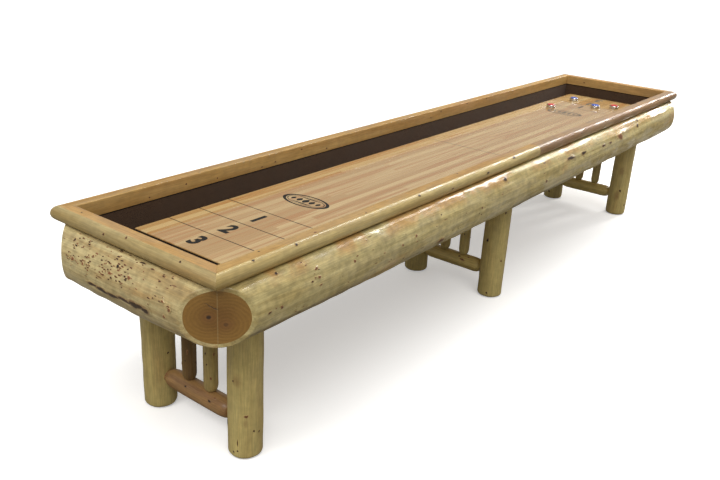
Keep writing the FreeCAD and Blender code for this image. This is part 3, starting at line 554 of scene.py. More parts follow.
def end_grain():
    """Distance from the oval's middle, 1 at its rim, sets heart and sapwood; distance from the pith draws
    rings."""
    material, tree, shader, place = new_material("log_end_grain", Coat_Weight=0.35, Coat_Roughness=0.3)
    folded = vector_maths(tree, "ABSOLUTE", place)[0]
    local = moved(tree, folded, tuple(-c for c in CORNER))
    axes = axes_of(tree, local)
    oval = node(tree, "CombineXYZ", None, X=maths(tree, "DIVIDE", axes["X"], FACE_WIDE),
                Y=maths(tree, "DIVIDE", axes["Z"], FACE_TALL)).outputs[0]
    uneven = noise(tree, place, 22.0, 3)
    fine = noise(tree, place, 130.0, 4, 0.6)
    away = vector_maths(tree, "LENGTH", oval)["Value"]
    away = maths(tree, "MULTIPLY_ADD", maths(tree, "SUBTRACT", uneven, 0.5), 0.16, away)
    left = maths(tree, "GREATER_THAN", axes["X"], 0.0)
    pith = node(tree, "CombineXYZ", None, X=maths(tree, "MULTIPLY_ADD", left, 0.41, -0.20),
                Y=maths(tree, "MULTIPLY_ADD", left, 0.24, -0.22)).outputs[0]
    from_pith = vector_maths(tree, "DISTANCE", oval, pith)["Value"]
    ring_place = maths(tree, "MULTIPLY_ADD", uneven, 0.10, from_pith)
    rings = maths(tree, "SINE", times(tree, ring_place, 62.0))
    colour = blend(tree, ease(tree, away, 0.15, 0.80), (0.176, 0.081, 0.014, 1), (0.250, 0.129, 0.025, 1))
    colour = blend(tree, ease(tree, away, 0.895, 0.915), colour, (0.14, 0.08, 0.030, 1))
    colour = blend(tree, ease(tree, away, 0.920, 0.940), colour, (0.42, 0.33, 0.15, 1))
    shade = maths(tree, "MULTIPLY_ADD", rings, 0.055, maths(tree, "MULTIPLY_ADD", fine, 0.35, 0.83))
    colour = shaded(tree, colour, shade)
    glow = ease(tree, from_pith, 0.05, 0.26, 0.55, 0.0)
    colour = blend(tree, glow, colour, (0.20, 0.085, 0.022, 1))
    eye = times(tree, ease(tree, from_pith, 0.035, 0.080, 1.0, 0.0),
                maths(tree, "MULTIPLY_ADD", left, 0.55, 0.45))
    colour = blend(tree, eye, colour, (0.035, 0.016, 0.008, 1))
    parts = axes_of(tree, oval)
    slant = maths(tree, "MULTIPLY_ADD", parts["X"], -0.7, parts["Y"])
    slant = maths(tree, "ADD", slant, times(tree, maths(tree, "SUBTRACT", fine, 0.5), 0.10))
    crack = ease(tree, maths(tree, "ABSOLUTE", maths(tree, "SUBTRACT", slant, 0.25)), 0.006, 0.024, 1.0, 0.0)
    crack = times(tree, crack, ease(tree, maths(tree, "ABSOLUTE", maths(tree, "SUBTRACT", parts["X"], 0.13)),
                                                0.10, 0.20, 1.0, 0.0))
    colour = blend(tree, times(tree, crack, 0.8), colour, (0.05, 0.025, 0.012, 1))
    seam = ease(tree, maths(tree, "ABSOLUTE", axes["X"]), 0.0006, 0.0016, 1.0, 0.0)
    colour = blend(tree, times(tree, seam, 0.35), colour, (0.40, 0.29, 0.14, 1))
    plug(tree, shader["Base Color"], colour)
    plug(tree, shader["Roughness"], ease(tree, fine, 0.3, 0.7, 0.42, 0.62))
    relief(tree, shader, maths(tree, "MULTIPLY_ADD", rings, 0.2, maths(tree, "SUBTRACT", fine, crack)),
           0.0006)
    return material


END_GRAIN = end_grain()
print("end grain about corner", [round(c, 3) for c in CORNER])

# %% [markdown]
# A half-log is a log sawn flat on the back, where it is screwed to the cabinet, and on top, where the rail
# sits. The whole round section is worked out first and then clamped to the two saw cuts, so the corners come
# free. Along the log, the ends follow the 45-degree cuts: each point's reach depends on how far out it lies.

# %% Half-logs
LOG_OUT, LOG_RISE, LOG_SWELL, LOG_DENT = 0.0876, 0.1076, 0.005, 0.036
LOG_EDGE, LOG_COLUMNS = 0.0035, 84
CABINET_X, CABINET_Y = -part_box("near_end_log")[1].x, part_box("back_log")[0].y
SAWN_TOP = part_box("front_log")[1].z
MITRE = CABINET_X - CABINET_Y
NIP = CORNER[0] + CORNER[1]


def plan_rows(body_rows, rim, radius, rings):
    """Rows from the middle of one end face to the middle of the other: share of the length, how far the row
    stands in from the end (a quarter circle of radius rim), and the size of its section."""
    turn = np.linspace(0, np.pi / 2, 6)
    inset = np.concatenate([rim * (1 - np.sin(turn)), np.zeros(rings)])
    size = 1 - rim / radius * (1 - np.cos(turn))
    size = np.concatenate([size, np.linspace(size[-1], 0, rings + 1)[1:]])
    body = np.linspace(0, 1, body_rows)[1:-1]
    share = np.concatenate([np.zeros(len(size)), body, np.ones(len(size))])
    inset = np.concatenate([inset[::-1], rim * (1 - 2 * body), -inset])
    size = np.concatenate([size[::-1], np.ones(len(body)), size])
    face = np.concatenate([np.arange(len(turn) + rings)[::-1] >= len(turn), np.zeros(len(body), bool),
                           np.arange(len(turn) + rings) >= len(turn)])
    return share[:, None], inset[:, None], size[:, None], face


def log_section(along, angle, size, middle, half, seed):
    """Outwards: middle + radius x cosine; up: heart height + radius x sine; both radii swell towards the
    log's middle and dent by the ripple, and the saw cuts clamp them."""
    swell = LOG_SWELL * (1 - np.minimum((along / half) ** 2, 1))
    fit = size * (1 - LOG_DENT * ripple(along, angle, seed))
    out = middle + (LOG_OUT + swell) * fit * np.cos(angle)
    up = HEART_UP + (LOG_RISE + swell) * fit * np.sin(angle)
    return np.maximum(out, middle - HEART_OUT), np.minimum(up, SAWN_TOP)


def laid(lengthwise, side, along, out, up):
    """Points of a piece that runs along X or along Y, on the side of the table that side gives."""
    flat = (along, side * out, up) if lengthwise == "X" else (side * out, along, up)
    return np.stack(np.broadcast_arrays(*flat), axis=-1)


def make_half_log(name, replaced, lengthwise, side, seed, rows, marks, material):
    """lengthwise: X for the long logs, Y for the end logs. side: which side of the table the log is on."""
    middle = CORNER[1] if lengthwise == "X" else CORNER[0]
    half = CORNER[0] if lengthwise == "X" else CORNER[1]
    mitre = MITRE if lengthwise == "X" else -MITRE

    def put(along, out, up):
        return laid(lengthwise, side, along, out, up)

    def skin(along, angle):
        out, up = log_section(along, angle, 1.0, middle, half, seed)
        return put(along, out, up), put(along, np.full_like(out, middle), np.full_like(up, HEART_UP))

    share, inset, size, face = plan_rows(rows, LOG_EDGE, LOG_OUT, 10)
    angle = np.linspace(0, 2 * np.pi, LOG_COLUMNS, endpoint=False)[None, :]
    guess = half * (2 * share - 1)
    out, up = log_section(guess, angle, size, middle, half, seed)
    reach = np.minimum(out + mitre, NIP - out)
    along = reach * (2 * share - 1) + inset
    on_face = (face[:-1] & face[1:])[:, None]
    choice = np.broadcast_to(np.where(on_face, 1, 0), (len(face) - 1, angle.size)).ravel()
    grids = [{"points": put(along, out, up), "material": choice}]
    grids += raised_marks(skin, marks, seed)
    return build_piece(name, grids, [material, END_GRAIN], "table", [replaced])


def on_round(marks):
    """Marks given as (along, degrees round, half length, half width, lift, tone), with widths in metres."""
    return [(a, math.radians(d), h, w / LOG_GIRTH, lift, tone) for a, d, h, w, lift, tone in marks]


near_marks = on_round([
    (0.254, 51, 0.009, 0.008, 0.0012, 0), (0.001, 40, 0.010, 0.010, 0.0012, 0), (0.176, 55, 0.010, 0.005,
                                                                                 0.001, 0),
    (0.033, 71, 0.016, 0.005, 0.001, 0), (-0.015, 70, 0.012, 0.005, 0.001, 0), (-0.089, 65, 0.020, 0.006,
                                                                                0.001, 0),
    (0.232, 17, 0.014, 0.008, 0.001, 1), (0.173, 17, 0.009, 0.007, 0.001, 1), (-0.066, 30, 0.013, 0.008,
                                                                               0.001, 1),
    (0.026, 23, 0.013, 0.008, 0.001, 1), (-0.268, 9, 0.011, 0.008, 0.001, 1), (-0.243, -8, 0.010, 0.007,
                                                                               0.001, 1),
    (-0.236, 18, 0.009, 0.006, 0.001, 1),
    (0.125, -14, 0.045, 0.009, 0.001, 0.1), (0.070, -16, 0.058, 0.012, 0.001, 0.05),
    (0.015, -17, 0.058, 0.010, 0.001, 0.1), (-0.045, -14, 0.060, 0.011, 0.001, 0.15),
    (-0.105, -13, 0.062, 0.018, 0.001, 0.1), (-0.15, -15, 0.040, 0.012, 0.001, 0.1),
]) + scattered(31, 70, (-0.27, 0.27), (-0.05, 1.2), (0.0018, 0.0040), (0.1, 0.5, 0.8, 1.0), 0.0005)
near_marks += scattered(37, 80, (-0.06, 0.27), (0.15, 0.85), (0.0022, 0.0052), (0.1, 0.5, 0.8, 1.0), 0.0005)
near_marks += scattered(33, 30, (-0.27, 0.27), (0.2, 1.3), (0.0026, 0.0050), (0.0, 0.2), 0.0005)
front_marks = on_round([
    (-1.883, 61, 0.010, 0.008, 0.001, 0), (-1.72, 38, 0.012, 0.008, 0.001, 0.8), (-1.717, 21, 0.010, 0.007,
                                                                                  0.001, 0.9),
    (-1.527, 20, 0.012, 0.007, 0.001, 0.9), (-1.955, -2, 0.012, 0.006, 0.001, 0.4), (-1.90, -3, 0.010, 0.006,
                                                                                     0.001, 0.6),
    (-1.15, 14, 0.012, 0.008, 0.001, 0.8), (-1.24, 8, 0.012, 0.007, 0.001, 0.9), (-0.954, -27, 0.032, 0.020,
                                                                                  0.006, 0.5),
    (-0.643, 8, 0.014, 0.008, 0.001, 0.7), (0.463, 27, 0.060, 0.010, 0.001, 0.1), (0.293, 29, 0.075, 0.012,
                                                                                   0.001, 0.1),
    (0.73, 22, 0.035, 0.010, 0.001, 0.3), (0.836, 21, 0.030, 0.010, 0.001, 0.3), (1.297, 36, 0.030, 0.016,
                                                                                  0.002, 0.1),
    (0.991, 26, 0.050, 0.026, 0.003, 1), (1.328, 54, 0.030, 0.012, 0.001, 0.3), (-0.393, 49, 0.024, 0.015,
                                                                                 0.0012, 0.0),
    (-0.001, -3, 0.020, 0.010, 0.001, 0.5),
]) + scattered(35, 150, (-1.96, 1.96), (-0.9, 1.1), (0.0018, 0.0045), (0.2, 0.6, 0.9), 0.0005)
for name, lengthwise, side, seed, rows, marks, material in (
    ("front_log", "X", -1, 21, 620, front_marks, LOG_LONG),
    ("back_log", "X", 1, 22, 620, scattered(32, 22, (-1.9, 1.9), (-0.9, 1.0), (0.006, 0.014)), LOG_LONG),
    ("near_end_log", "Y", -1, 23, 130, near_marks, LOG_END),
    ("far_end_log", "Y", 1, 24, 130, scattered(34, 16, (-0.3, 0.3), (-0.9, 1.0), (0.006, 0.011)), LOG_END),
):
    made = make_half_log(f"{name}_peeled", name, lengthwise, side, seed, rows, marks, material)
    print(made.name, len(made.data.polygons), "faces")

# %% [markdown]
# A rail is a half-round batten: sawn flat inside, on top and below, and left round outside like the log.
# Its outline is a list of corners and one arc, measured as a distance round the section, which is carried
# along the rail. The ends are mitred where rails meet at a corner and square where two lengths are joined.

# %% Rails
RAIL_IN, RAIL_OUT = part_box("back_rail_far")[0].y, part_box("back_rail_far")[1].y
RAIL_LOW, RAIL_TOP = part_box("back_rail_far")[0].z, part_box("back_rail_far")[1].z
RAIL_FLAT, RAIL_EASE, RAIL_ARC = 0.044, 0.003, 0.0302


def rail_outline():
    """Corners of the section as (outwards, up) from its inner bottom edge, and whether each is on the round
    side."""
    height = RAIL_TOP - RAIL_LOW - 0.0006
    inner = np.stack([np.zeros(7), np.linspace(0, height - RAIL_EASE, 7)], axis=1)
    turn = np.linspace(np.pi, np.pi / 2, 5)
    eased = np.stack([RAIL_EASE + RAIL_EASE * np.cos(turn), height - RAIL_EASE + RAIL_EASE * np.sin(turn)],
                     axis=1)
    top = np.stack([np.linspace(RAIL_EASE, RAIL_FLAT - 0.001, 8), np.full(8, height)], axis=1)
    middle = np.array([RAIL_OUT - RAIL_IN - RAIL_ARC, 0.0300])
    sweep = np.radians(np.linspace(72, -87.5, 22))
    round_side = middle + RAIL_ARC * np.stack([np.cos(sweep), np.sin(sweep)], axis=1)
    under = np.stack([np.linspace(0.036, 0.006, 5), np.zeros(5)], axis=1)
    corners = np.concatenate([inner, eased[1:], top[1:], round_side, under])
    is_round = np.concatenate([np.zeros(len(corners) - 27, bool), np.ones(22, bool), np.zeros(5, bool)])
    return np.clip(corners, 0, None), is_round


RAIL_SHAPE, RAIL_IS_ROUND = rail_outline()
RAIL_AROUND = np.concatenate([[0], np.cumsum(np.linalg.norm(np.diff(RAIL_SHAPE, axis=0), axis=1))])
ROUND_FROM, ROUND_TO = RAIL_AROUND[RAIL_IS_ROUND][[0, -1]]


def rail_section(along, around, size, seed):
    """Looks the distance round up in the outline, then planes the round side down by the ripple."""
    out = np.interp(around, RAIL_AROUND, RAIL_SHAPE[:, 0])
    up = np.interp(around, RAIL_AROUND, RAIL_SHAPE[:, 1])
    middle = RAIL_SHAPE.mean(axis=0)
    side = np.clip((around - ROUND_FROM) / (ROUND_TO - ROUND_FROM), 0, 1)
    dent = 1 - 0.045 * np.sin(np.pi * side) * ripple(along, around * 20, seed)
    out = middle[0] + (out - middle[0]) * size * dent
    up = middle[1] + (up - middle[1]) * size
    return RAIL_IN + out, RAIL_LOW + up


def make_rail(name, replaced, lengthwise, side, start, finish, seed, marks, materials, rows):
    """start and finish: functions of how far out a point lies, so that the ends can be mitred or square."""
    shift = MITRE if lengthwise == "Y" else 0.0

    def put(along, out, up):
        return laid(lengthwise, side, along, out + shift, up)

    def skin(along, around):
        out, up = rail_section(along, around, 1.0, seed)
        middle = RAIL_SHAPE.mean(axis=0)
        core = put(along, np.full_like(out, RAIL_IN + middle[0]), np.full_like(up, RAIL_LOW + middle[1]))
        return put(along, out, up), core

    share, inset, size, _ = plan_rows(rows, 0.0012, 0.03, 5)
    around = RAIL_AROUND[None, :]
    guess = start(RAIL_IN) + (finish(RAIL_IN) - start(RAIL_IN)) * share
    out, up = rail_section(guess, around, size, seed)
    along = start(out) + (finish(out) - start(out)) * share + inset
    round_face = RAIL_IS_ROUND & np.roll(RAIL_IS_ROUND, -1)
    choice = np.broadcast_to(round_face.astype(int), (len(share) - 1, around.size)).ravel()
    grids = [{"points": put(along, out, up), "material": choice}]
    sawn = raised_marks(skin, [m for m in marks if m[1] < ROUND_FROM], seed)
    rounded = raised_marks(skin, [m for m in marks if m[1] >= ROUND_FROM], seed + 1)
    for grid in rounded:
        grid["material"] = 1
    return build_piece(name, grids + sawn + rounded, materials, "table", [replaced])


def square(at):
    return lambda out: np.full_like(np.asarray(out, float), at)


def mitred(sign, shift):
    return lambda out: sign * (np.asarray(out, float) + shift)


def on_side(along, degrees, half_length, half_width, tone=0.0):
    """A knot on the round side, placed by its angle above the level."""
    return (along, ROUND_FROM + math.radians(72 - degrees) * RAIL_ARC, half_length, half_width, 0.0008, tone)


def on_top(along, out, half_length, half_width, tone=0.0):
    return (along, RAIL_TOP - RAIL_LOW + out - RAIL_IN - 0.0013, half_length, half_width, 0.0001, tone)


def inside(along, up, half_length, half_width, tone=0.4):
    return (along, up - RAIL_LOW, half_length, half_width, 0.0001, tone)


FRONT_SPLICE, BACK_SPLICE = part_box("front_rail_near")[1].x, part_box("back_rail_near")[1].x
rails_x, rails_y = [RAIL_SAWN_X, RAIL_ROUND_X], [RAIL_SAWN_Y, RAIL_ROUND_Y]
front_near_knots = [
    on_side(-1.966, 60, 0.010, 0.006), on_side(-1.774, 51, 0.011, 0.007), on_side(-1.061, 49, 0.014, 0.007),
    on_side(-0.528, 9, 0.016, 0.009), on_side(-0.269, 50, 0.022, 0.010), on_side(-0.824, -1, 0.014, 0.007,
                                                                                 0.5),
    on_top(-1.908, 0.377, 0.007, 0.006), on_top(-1.657, 0.394, 0.016, 0.007, 0.7),
    on_top(-1.383, 0.398, 0.009, 0.006), on_top(-0.709, 0.373, 0.012, 0.006, 0.4),
    *[inside(x, 0.83, 0.008, 0.005) for x in (-1.6, -1.1, -0.4)]]
back_near_knots = [
    inside(-1.753, 0.819, 0.008, 0.005), inside(-1.572, 0.832, 0.009, 0.006), inside(-1.406, 0.821, 0.008,
                                                                                     0.005),
    on_top(-1.495, 0.369, 0.008, 0.005, 0.5)]
back_far_knots = [
    inside(-1.144, 0.815, 0.009, 0.006), inside(-1.06, 0.822, 0.010, 0.006), inside(-0.884, 0.847, 0.010,
                                                                                    0.006),
    inside(-0.703, 0.819, 0.010, 0.006), inside(0.318, 0.849, 0.014, 0.007), inside(0.61, 0.856, 0.016,
                                                                                    0.006),
    inside(0.214, 0.829, 0.012, 0.006), inside(0.849, 0.853, 0.016, 0.006)]
near_knots = [on_side(0.115, 16, 0.009, 0.007, 0.3), on_side(0.007, 53, 0.008, 0.007, 0.3),
              on_side(-0.258, 48, 0.008, 0.005), on_top(0.29, 0.386, 0.006, 0.006)]
far_knots = [inside(0.227, 0.832, 0.010, 0.008), on_top(-0.12, 0.37, 0.010, 0.008)]
for name, lengthwise, side, start, finish, seed, marks, rows in (
    ("front_rail_near", "X", -1, mitred(-1, MITRE), square(FRONT_SPLICE), 41, front_near_knots, 260),
    ("front_rail_far", "X", -1, square(FRONT_SPLICE), mitred(1, MITRE), 42,
     [on_side(x, d, 0.014, 0.008, t) for x, d, t in ((0.5, 20, 0.2), (0.95, 44, 0), (1.4, 12, 0.5),
                                                     (1.75, 40, 0))], 260),
    ("back_rail_near", "X", 1, mitred(-1, MITRE), square(BACK_SPLICE), 43, back_near_knots, 120),
    ("back_rail_far", "X", 1, square(BACK_SPLICE), mitred(1, MITRE), 44, back_far_knots, 400),
    ("near_end_rail", "Y", -1, mitred(-1, 0), mitred(1, 0), 45, near_knots, 110),
    ("far_end_rail", "Y", 1, mitred(-1, 0), mitred(1, 0), 46, far_knots, 110),
):
    materials = rails_x if lengthwise == "X" else rails_y
    if name == "front_rail_far":
        materials = [RAIL_SAWN_RED, RAIL_ROUND_RED]
    made = make_rail(f"{name}_planed", name, lengthwise, side, start, finish, seed, marks, materials, rows)
    print(made.name, len(made.data.polygons), "faces")

# %% [markdown]
# Legs, stretchers and spindles are whole peeled logs, so each is an outline turned about its own axis, like
# work on a lathe, with the ripple pressed into its outer wall. The leg's outline goes on under the foot,
# into the recess that hides the leveller and up the hole for its screw.

# %% Turned logs
def turned(outline, centre, axis, seed, dent=0.03, columns=56):
    """A point is centre + height along the axis + radius round it. Only the outermost wall is dented.
    Returns the grid and its skin, a function of height and angle."""
    frame_axes = {"X": ((0, 1, 0), (0, 0, 1), (1, 0, 0)), "Y": ((0, 0, 1), (1, 0, 0), (0, 1, 0)),
                  "Z": ((1, 0, 0), (0, 1, 0), (0, 0, 1))}[axis]
    first, second, length = (np.array(v, float) for v in frame_axes)
    outline = np.asarray(outline, float)
    largest = outline[:, 0].max()

    def spin(radius, height, angle):
        wall = np.clip((radius / largest - 0.75) / 0.2, 0, 1)
        fit = radius * (1 - dent * wall * ripple(height, angle, seed))
        across = np.cos(angle)[..., None] * first + np.sin(angle)[..., None] * second
        core = np.asarray(centre, float) + height[..., None] * length
        return core + fit[..., None] * across, core

    def skin(height, angle):
        height, angle = np.broadcast_arrays(np.asarray(height, float), np.asarray(angle, float))
        return spin(np.full(height.shape, largest), height, angle)

    angle = np.linspace(0, 2 * np.pi, columns, endpoint=False)
    radius, angle = np.meshgrid(outline[:, 0], angle, indexing="ij")
    height = np.broadcast_to(outline[:, 1][:, None], radius.shape)
    return {"points": spin(radius, height, angle)[0]}, skin


def wall(radius, low, high, step=0.009):
    """Points up a straight wall, a step apart."""
    heights = np.linspace(low, high, max(2, int((high - low) / step)))
    return [(radius, h) for h in heights]


def eased_corner(radius, height, reach, rise):
    """A quarter of an oval from (radius - reach, height) out to (radius, height + rise)."""
    turn = np.linspace(0, np.pi / 2, 7)
    return [(radius - reach + reach * math.sin(t), height + rise * (1 - math.cos(t))) for t in turn]


LEG_RADIUS, LEG_TOP, LEG_LOW = 0.0658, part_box("near_front_leg")[1].z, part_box("near_front_leg")[0].z
LEG_OUTLINE = [(0, 0.082), (0.0058, 0.082), (0.0058, 0.018), (0.024, 0.018), (0.024, LEG_LOW)]
LEG_OUTLINE += eased_corner(LEG_RADIUS, LEG_LOW, 0.014, 0.014)
LEG_OUTLINE += wall(LEG_RADIUS, LEG_LOW + 0.014, LEG_TOP)[1:] + [(0.03, LEG_TOP), (0, LEG_TOP)]
leg_knots = {
    "near_front": [(0.191, -132, 0.010, 0.010, 0.8), (0.330, -175, 0.006, 0.006, 0),
                   (0.124, -107, 0.007, 0.006, 0), (0.112, -86, 0.007, 0.006, 0),
                   (0.031, -175, 0.007, 0.006, 0), (0.040, -160, 0.006, 0.005, 0), (0.075, -160, 0.024, 0.003,
                                                                                    0.2)],
    "near_back": [(0.248, -96, 0.007, 0.006, 0)],
    "middle_front": [(0.327, 168, 0.014, 0.012, 0), (0.03, -165, 0.009, 0.007, 0), (0.219, -114, 0.010, 0.008,
                                                                                    0.5),
                     (0.49, -121, 0.010, 0.008, 0)],
    "far_front": [(0.183, -152, 0.014, 0.010, 0), (0.077, -105, 0.012, 0.009, 0)],
    "far_back": [(0.056, 176, 0.012, 0.010, 0)],
}
for number, name in enumerate(n for n in sorted(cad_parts) if n.endswith("_leg")):
    low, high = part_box(name)
    pair = name[: -len("_leg")]
    centre = ((low.x + high.x) / 2, (low.y + high.y) / 2, 0)
    grid, skin = turned(LEG_OUTLINE, centre, "Z", 60 + number)
    marks = [(h, math.radians(d), hl, hw / LEG_RADIUS, 0.0008, t) for h, d, hl, hw, t in leg_knots.get(pair,
                                                                                                       [])]
    marks += scattered(70 + number, 7, (0.06, 0.5), (0.2, 2.6), (0.005, 0.010), lift=0.0008,
                       radius=LEG_RADIUS)
    made = build_piece(f"{name}_peeled", [grid] + raised_marks(skin, marks, number), [LEG_WOOD], "table",
                       [name])
    print(made.name, len(made.data.polygons), "faces")

# %% [markdown]
# A stretcher is a thinner log whose ends are rounded down to a tenon that enters the leg; the spindles stand
# on it with bluntly sharpened feet. Both use the same turning helper with another outline.

# %% Stretchers and spindles
STRETCHER_RADIUS, TENON_RADIUS, SHOULDER, TAPER = 0.0405, 0.0265, 0.171, 0.038
half_outline = [(0, 0.2395), (TENON_RADIUS, 0.2395), (TENON_RADIUS, SHOULDER)]
turn = np.linspace(0, np.pi / 2, 9)[1:]
half_outline += [(TENON_RADIUS + (STRETCHER_RADIUS - TENON_RADIUS) * math.sin(t),
                  SHOULDER - TAPER * (1 - math.cos(t)))
                 for t in turn]
STRETCHER_OUTLINE = [(r, -h) for r, h in half_outline]
STRETCHER_OUTLINE += wall(STRETCHER_RADIUS, TAPER - SHOULDER, SHOULDER - TAPER)[1:-1]
STRETCHER_OUTLINE += half_outline[::-1]
for number, name in enumerate(("near_stretcher", "middle_stretcher", "far_stretcher")):
    low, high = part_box(name)
    centre = ((low.x + high.x) / 2, 0, (low.z + high.z) / 2)
    grid, skin = turned(STRETCHER_OUTLINE, centre, "Y", 80 + number, dent=0.05)
    marks = scattered(90 + number, 6, (-0.12, 0.12), (0, 6.2), (0.004, 0.008), radius=STRETCHER_RADIUS)
    wood = STRETCHER_WOOD if name == "near_stretcher" else STRETCHER_OLIVE
    made = build_piece(f"{name}_peeled", [grid] + raised_marks(skin, marks, number), [wood], "table",
                       [name])
    print(made.name, len(made.data.polygons), "faces")

TRESTLES = (-1.836, 0.0, 1.836)
SPINDLE_RADIUS, SPINDLE_TIP, SPINDLE_NECK, SPINDLE_STRAIGHT = 0.0287, 0.0138, 0.181, 0.211
SPINDLE_OUTLINE = [(0, 0.150), (SPINDLE_TIP, 0.150), (SPINDLE_TIP, SPINDLE_NECK - 0.004)]
SPINDLE_OUTLINE += [(SPINDLE_TIP + (SPINDLE_RADIUS - SPINDLE_TIP) * math.sin(t),
                     SPINDLE_NECK + 0.030 * (1 - math.cos(t)))
                    for t in np.linspace(0, np.pi / 2, 7)]
SPINDLE_OUTLINE += wall(SPINDLE_RADIUS, SPINDLE_STRAIGHT, LEG_TOP)[1:] + [(0, LEG_TOP)]
spindle_grids = []
for number, (x, y) in enumerate((x, y) for x in TRESTLES for y in (-0.060, 0.060)):
    grid, skin = turned(SPINDLE_OUTLINE, (x, y, 0), "Z", 100 + number, dent=0.06, columns=40)
    marks = scattered(110 + number, 5, (0.23, 0.5), (0, 6.2), (0.003, 0.006), radius=SPINDLE_RADIUS)
    marks += [((0.305, 0.272)[number % 2], math.radians(-164), 0.006, 0.005 / SPINDLE_RADIUS, 0.0006, 0)]
    new_grids = [grid] + raised_marks(skin, marks, number)
    spindle_grids += [dict(g, material=0 if number == 1 else 1) for g in new_grids]
made = build_piece("spindles_peeled", spindle_grids, [SPINDLE_WOOD, SPINDLE_PALE], "table",
                   ["spindles"])
print(made.name, len(made.data.polygons), "faces")

# %% [markdown]
# The playfield is a slab of long maple strips glued edge to edge, under a thick glossy finish. Each strip
# gets its own tone from a random number that belongs to its place across the table, and again where it is
# pieced along its length. Below the top edge the sides are nearly black.

# %% Playfield
FIELD_LOW, FIELD_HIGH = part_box("playfield")
STRIP = 0.0339


def playfield_finish():
    """Strip number = across / width rounded down; piece number = along / length, shifted by the strip's
    chance."""
    material, tree, shader, place = new_material(
        "playfield_maple_gloss", Coat_Weight=1.0, Coat_Roughness=0.05, Specular_IOR_Level=0.5)
    axes = axes_of(tree, place)
    across = maths(tree, "DIVIDE", maths(tree, "ADD", axes["Y"], 1.0), STRIP)
    strip = maths(tree, "FLOOR", across)
    strip_chance = node(tree, "TexWhiteNoise", {"noise_dimensions": "1D"}, W=strip).outputs["Value"]
    piece = maths(tree, "FLOOR", maths(tree, "MULTIPLY_ADD", strip_chance, 3.7,
                                       maths(tree, "DIVIDE", axes["X"], 1.45)))
    key = node(tree, "CombineXYZ", None, X=strip, Y=piece).outputs[0]
    tone = node(tree, "TexWhiteNoise", {"noise_dimensions": "2D"}, Vector=key).outputs
    apart = moved(tree, place, scaled(tree, tone["Color"], (3.0, 5.0, 0.0)))
    wood = use(tree, grain, Place=apart, Stretch=(0.035, 1, 1), Fineness=1.2)
    colour = blend(tree, ease(tree, tone["Value"], 0.15, 0.85), (0.560, 0.395, 0.178, 1),
                   (0.430, 0.262, 0.098, 1))
    colour = blend(tree, ease(tree, wood["Band"], 0.46, 0.62, 0.0, 0.80), colour, (0.40, 0.180, 0.048, 1))
    colour = blend(tree, ease(tree, wood["Fibre"], 0.50, 0.80, 0.0, 0.35), colour, (0.42, 0.22, 0.10, 1))
    side = maths(tree, "ABSOLUTE", maths(tree, "SUBTRACT", maths(tree, "FRACT", across), 0.5))
    joint = ease(tree, side, 0.482, 0.497)
    colour = blend(tree, times(tree, joint, 0.35), colour, (0.30, 0.16, 0.08, 1))
    low = ease(tree, axes["Z"], FIELD_HIGH.z - 0.006, FIELD_HIGH.z - 0.003, 1.0, 0.0)
    colour = blend(tree, low, colour, (0.018, 0.014, 0.011, 1))
    plug(tree, shader["Base Color"], colour)
    plug(tree, shader["Roughness"], ease(tree, wood["Fibre"], 0.3, 0.7, 0.22, 0.34))
    relief(tree, shader, maths(tree, "SUBTRACT", 1.0, joint), 0.00005)
    return material


MAPLE = playfield_finish()
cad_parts["playfield"].material_slots[0].material = MAPLE
print("playfield", [round(v, 3) for v in (FIELD_HIGH - FIELD_LOW)])

# %% [markdown]
# Score lines, digits and two plain ornaments are printed under the finish. They are made as films six
# hundredths of a millimetre above the wood: flat strips and rings as grids, and the digits from a font, which
# is turned into a mesh before it is laid in place.

# %% Markings
PRINT_UP = FIELD_HIGH.z + 0.00006
LINE_STEP = 0.1524


def ink(name, colour, rough):
    material, tree, shader, place = new_material(name, Specular_IOR_Level=0.15)
    worn = noise(tree, place, 900.0, 2)
    plug(tree, shader["Base Color"], blend(tree, ease(tree, worn, 0.5, 0.8, 0.0, 0.20), colour,
                                           (0.10, 0.08, 0.06, 1)))
    plug(tree, shader["Roughness"], ease(tree, worn, 0.3, 0.7, rough, rough + 0.1))
    return material


BLACK_INK = ink("black_print", (0.012, 0.011, 0.010, 1), 0.30)
GREY_INK = ink("grey_print", (0.10, 0.085, 0.07, 1), 0.34)


def film(low, high):
    """A flat strip as a 2 by 9 grid between two (x, y) corners."""
    x = np.linspace(low[0], high[0], 9)[None, :]
    y = np.array([low[1], high[1]])[:, None]
    return {"points": np.stack(np.broadcast_arrays(x, y, PRINT_UP), axis=-1), "around": False}


def oval_ring(middle, wide, long, inner):
    """Between an outer oval and the same oval shrunk to inner: x = long x cosine, y = wide x sine."""
    turn = np.linspace(0, 2 * np.pi, 96, endpoint=False)[None, :]
    size = np.linspace(1.0, inner, 3)[:, None]
    x, y = middle[0] + long * size * np.cos(turn), middle[1] + wide * size * np.sin(turn)
    return {"points": np.stack([x, y, np.full_like(x, PRINT_UP)], axis=-1)}


def leaf(middle, half_wide, half_long):
    """A pointed leaf: its width is a cosine that falls to nothing at both tips."""
    share = np.linspace(-1, 1, 15)[None, :]
    edge = np.array([-1, 0, 1])[:, None]
    y = middle[1] + half_wide * share + 0 * edge
    x = middle[0] + half_long * edge * np.cos(share * np.pi / 2)
    return {"points": np.stack([x, y, np.full_like(x, PRINT_UP)], axis=-1), "around": False}


def face_up(piece):
    """Open films have no inside, so their faces are turned to point up by hand."""
    work = bmesh.new()
    work.from_mesh(piece.data)
    down = [f for f in work.faces if f.normal.z < 0]
    bmesh.ops.reverse_faces(work, faces=down)
    work.to_mesh(piece.data)
    work.free()
    return piece


